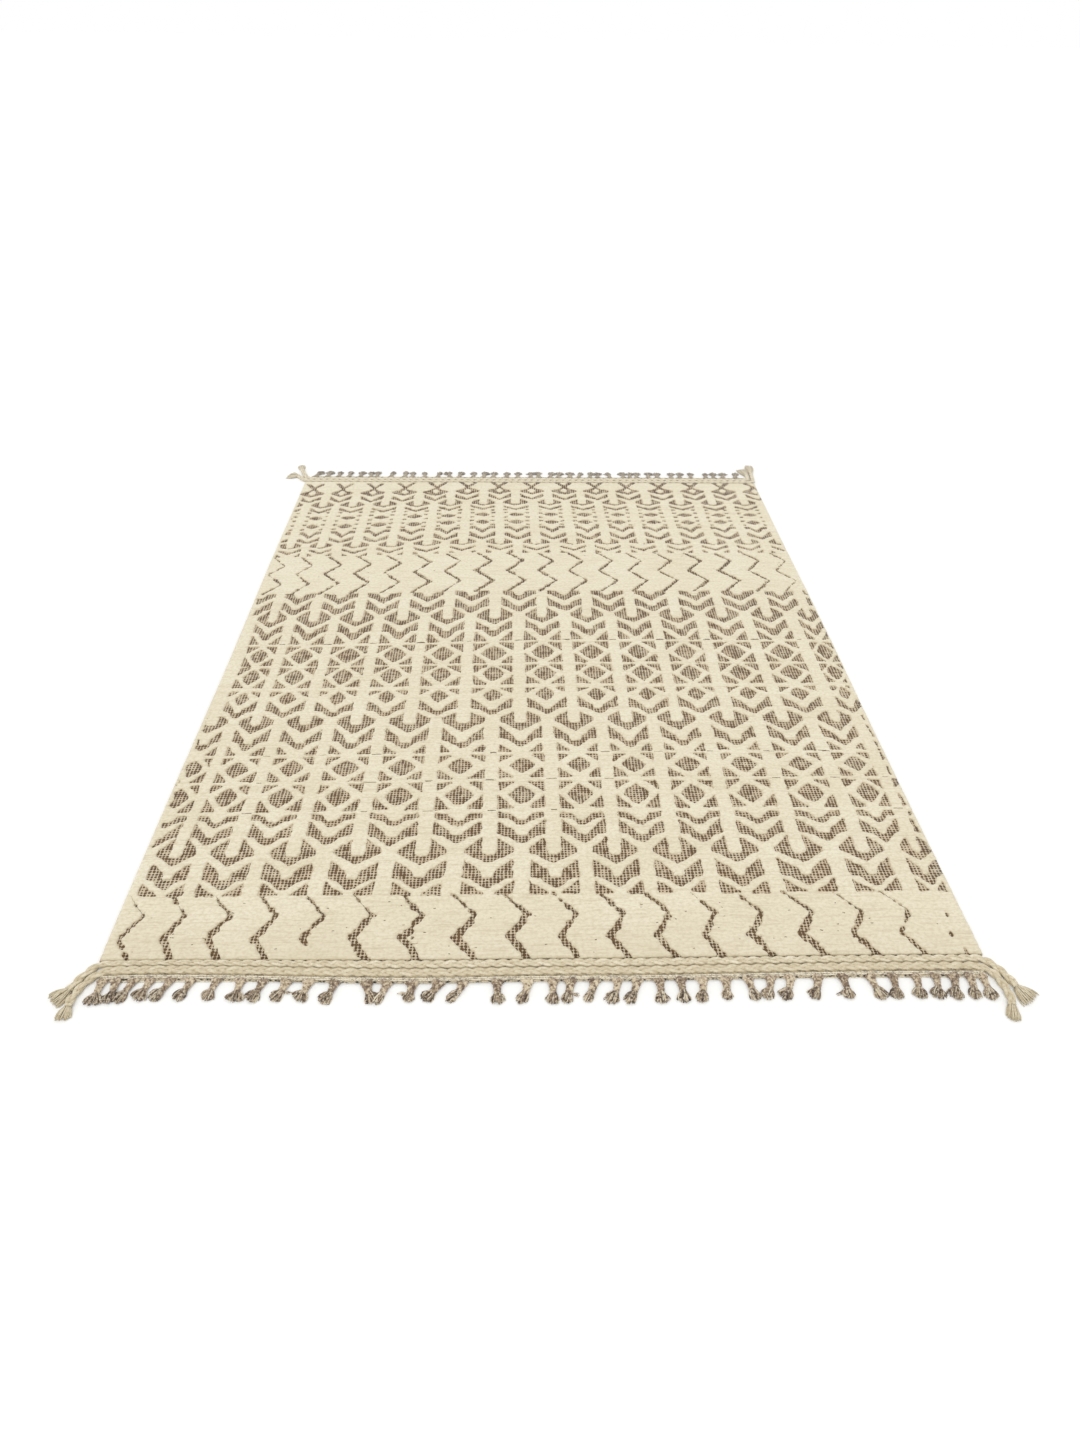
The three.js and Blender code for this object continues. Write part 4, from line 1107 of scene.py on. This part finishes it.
# Where each tassel's root lies across the rug, and how far to the side its brush lies
TASSELS = {
    "near_fringe": [
        (-1190, -5), (-1153, 3), (-1109, -23), (-1063, -19), (-1011, -27), (-955, -21), (-888, -13),
        (-822, -4), (-763, -19), (-699, -23), (-640, -17), (-570, -18), (-484, 23), (-430, -23),
        (-361, -8), (-292, -32), (-226, -31), (-134, 2), (-51, -17), (16, -2), (64, -15), (128, -23),
        (191, -19), (243, -25), (305, 0), (362, 4), (422, -10), (485, -5), (547, 10), (607, -18),
        (662, -27), (737, -23), (807, 3), (882, 15), (945, -10), (1008, -9), (1062, -13), (1111, -18),
        (1157, -10), (1190, 5),
    ],
    "far_fringe": [
        (-1177, 22), (-1114, 11), (-1053, 3), (-997, 6), (-934, 4), (-877, -4), (-845, 3), (-768, 8),
        (-693, 2), (-650, -3), (-583, -8), (-511, 5), (-447, -14), (-395, 10), (-318, 4), (-262, 12),
        (-209, 10), (-135, 4), (-74, 3), (-3, 5), (42, -7), (105, 12), (150, 10), (214, 4), (262, 14),
        (325, 6), (366, 5), (433, -5), (510, -4), (545, 6), (583, 5), (647, 9), (697, 5), (774, 5),
        (820, 13), (883, 5), (966, 7), (1010, 6), (1062, 9), (1131, 10),
    ],
}


def tassel_yarn(name, darkest, shades, palest, outer_dark):
    """Grey-brown yarn: each strand has its own shade, with flecks of dark goat hair and pale wool.

    More of the dark hair is in the tassels toward the rug's two sides, by a given share, and
    they turn greyer toward the far end.
    """
    material, tree, shader = wool(name, 0.97, 0.2)
    island = add(tree, "ShaderNodeNewGeometry").outputs["Random Per Island"]
    ramp = add(tree, "ShaderNodeValToRGB", {"Fac": island})
    ramp.color_ramp.elements[0].color = from_hex(shades[0])
    ramp.color_ramp.elements[1].color = from_hex(shades[-1])
    for place, code in enumerate(shades[1:-1], 1):
        ramp.color_ramp.elements.new(place / (len(shades) - 1)).color = from_hex(code)
    mottle = add(tree, "ShaderNodeTexNoise", {"Vector": millimetres(tree, 6, 6, 6), "Scale": 1, "Detail": 2})
    fuzz = add(tree, "ShaderNodeTexNoise", {"Vector": millimetres(tree, 3, 3, 3), "Scale": 1, "Detail": 3})
    bump = add(tree, "ShaderNodeBump", {"Height": fuzz.outputs["Fac"], "Distance": 1.2 * MM, "Strength": 0.6})
    outward = add(tree, "ShaderNodeMath", {0: rug_axis(tree, "X")}, operation="ABSOLUTE").outputs[0]
    tone = ramp.outputs["Color"]
    for code, value, span, share in (
        (darkest, mottle.outputs["Fac"], (0.47, 0.34), 0.85),
        (palest, mottle.outputs["Fac"], (0.54, 0.66), 0.85),
        (shades[0], outward, (650, 1000), outer_dark),
        ("A09C93", rug_axis(tree, "Y"), (0, 1500), 0.5),
    ):
        tone = dyed(tree, tone, code, value, span, (0, share))
    tree.links.new(tone, shader.inputs["Base Color"])
    tree.links.new(bump.outputs["Normal"], shader.inputs["Normal"])
    return material


# The plaits look lighter, and the cut ends show more of the dark hair.
plaited_yarn = tassel_yarn(
    "grey_brown_plaited_yarn", "5C4B3F", ("786551", "A08B73", "B8A489", "D2C2A5"), "E0D3BA", 0.06,
)
cut_yarn = tassel_yarn(
    "grey_brown_cut_yarn", "352820", ("4A3A2F", "86715C", "AE9A80", "CBBA9D", "E6DAC2"), "E6DBC4", 0.15,
)

# How the near tassels vary across: (across, extra length, breadth of the cut ends)
NEAR_VARIES = [
    (-1190, 7, 1.3), (-1150, 1, 1.3), (-1060, -3, 1.35), (-825, -4, 1.3), (-600, -6, 1.15),
    (-450, -3, 0.95), (-300, -10, 0.9), (-225, -12, 0.9), (-130, 3, 0.9), (0, 3, 0.9), (200, 0, 0.88),
    (300, 4, 0.9), (500, 1, 0.9), (660, -2, 0.92), (800, 4, 0.95), (950, 6, 1), (1190, 7, 1),
]


def on_tassel(root, sway, end, long, out):
    """A place down a tassel, whose sway to the side grows from its root."""
    aside = sway * (max(out, 0) / TASSEL_LONG) ** SWAY_EASE
    return root + aside, end * (FIELD_LONG / 2 + TASSEL_OUT + out * long / TASSEL_LONG), 0.0


for name, end, _, _, _ in FRINGES:
    rng = np.random.default_rng(TASSEL_SEED + end)
    stems, ends = [], []
    for index, (root, sway) in enumerate(TASSELS[name]):
        long = TASSEL_LONG + rng.uniform(*LENGTHS_VARY)
        wide = rng.uniform(*THICKNESSES)
        if end > 0:
            longer, breadth = FAR_LONGER, FAR_BREADTH
        else:
            across, extras, breadths = zip(*NEAR_VARIES)
            longer, breadth = np.interp(root, across, extras), np.interp(root, across, breadths)
        tassel = (root, sway, end, long + longer)
        path, at = through([on_tassel(*tassel, out) for out in STEM_PLACES], STEM_STEP)
        scale = wide * np.interp(at, *zip(*STEM_TAPER))
        stems += plait(path, at, scale, middle=5.6, period=36, swing=4.4, rise=1.6,
                       wide=4.0, high=3.0, sides=6, phase=index)
        spread = BRUSH_WIDE * wide * breadth * rng.uniform(*SPREADS)
        x, y, z = on_tassel(*tassel, TASSEL_LONG)
        tip = (x + rng.uniform(*TIPS_VARY) + sway * LEAN_ON, y, z)
        ends += brush(on_tassel(*tassel, STEM_LONG - BRUSH_UP), tip, root_wide=14, tip_wide=spread,
                      high=13, yarns=34, thick=1.9, rounded=0.3, rng=rng)
        if rng.uniform() < STRAY_SHARE:
            aside = on_tassel(*tassel, STEM_LONG)[0] + rng.choice([-1, 1]) * STRAY_ASIDE
            stray = (aside, on_tassel(*tassel, STEM_LONG + rng.uniform(*STRAY_PAST))[1], 0.0)
            ends += brush(on_tassel(*tassel, STEM_LONG - STRAY_UP), stray, root_wide=3, tip_wide=10,
                          high=5, yarns=5, thick=1.1, rounded=0.3, rng=rng)
    for kind, parts, yarn in (("_plaits", stems, plaited_yarn), ("_cut_ends", ends, cut_yarn)):
        piece = piece_of(name + kind, *gather(parts), yarn, "tassel")
        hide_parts(name)

# Floor and light
# A plain pale floor under the rug, lit evenly from all round as in a white studio.
# One broad soft lamp, high on the near left, gives the pile its slight relief.
FLOOR_HALF = 60
FLOOR_TOP = -0.0005
floor_mesh = bpy.data.meshes.new("floor")
turns = ((-1, -1), (1, -1), (1, 1), (-1, 1))
floor_mesh.from_pydata([(x * FLOOR_HALF, y * FLOOR_HALF, FLOOR_TOP) for x, y in turns], [], [(0, 1, 2, 3)])

# White floor paint: matt, so that it shows only the rug's soft shade.
floor_paint = bpy.data.materials.new("white_floor_paint")
floor_paint.use_nodes = True
shader = floor_paint.node_tree.nodes["Principled BSDF"]
shader.inputs["Base Color"].default_value = from_hex("F8F8F6")
shader.inputs["Roughness"].default_value = 0.9
floor_mesh.materials.append(floor_paint)
floor = bpy.data.objects.new("floor", floor_mesh)
bpy.context.scene.collection.objects.link(floor)

world = bpy.data.worlds.new("studio")
world.use_nodes = True
sky = world.node_tree.nodes["Background"]
sky.inputs["Color"].default_value = (1, 1, 1, 1)
sky.inputs["Strength"].default_value = 1
bpy.context.scene.world = world
lamp = bpy.data.lights.new("soft_lamp", "SUN")
lamp.energy = 0.48
lamp.angle = math.radians(25)
lamp_rig = bpy.data.objects.new("soft_lamp", lamp)
lamp_rig.rotation_euler = (math.radians(28), math.radians(-24), 0)
bpy.context.scene.collection.objects.link(lamp_rig)
bpy.context.scene.view_settings.view_transform = "Standard"
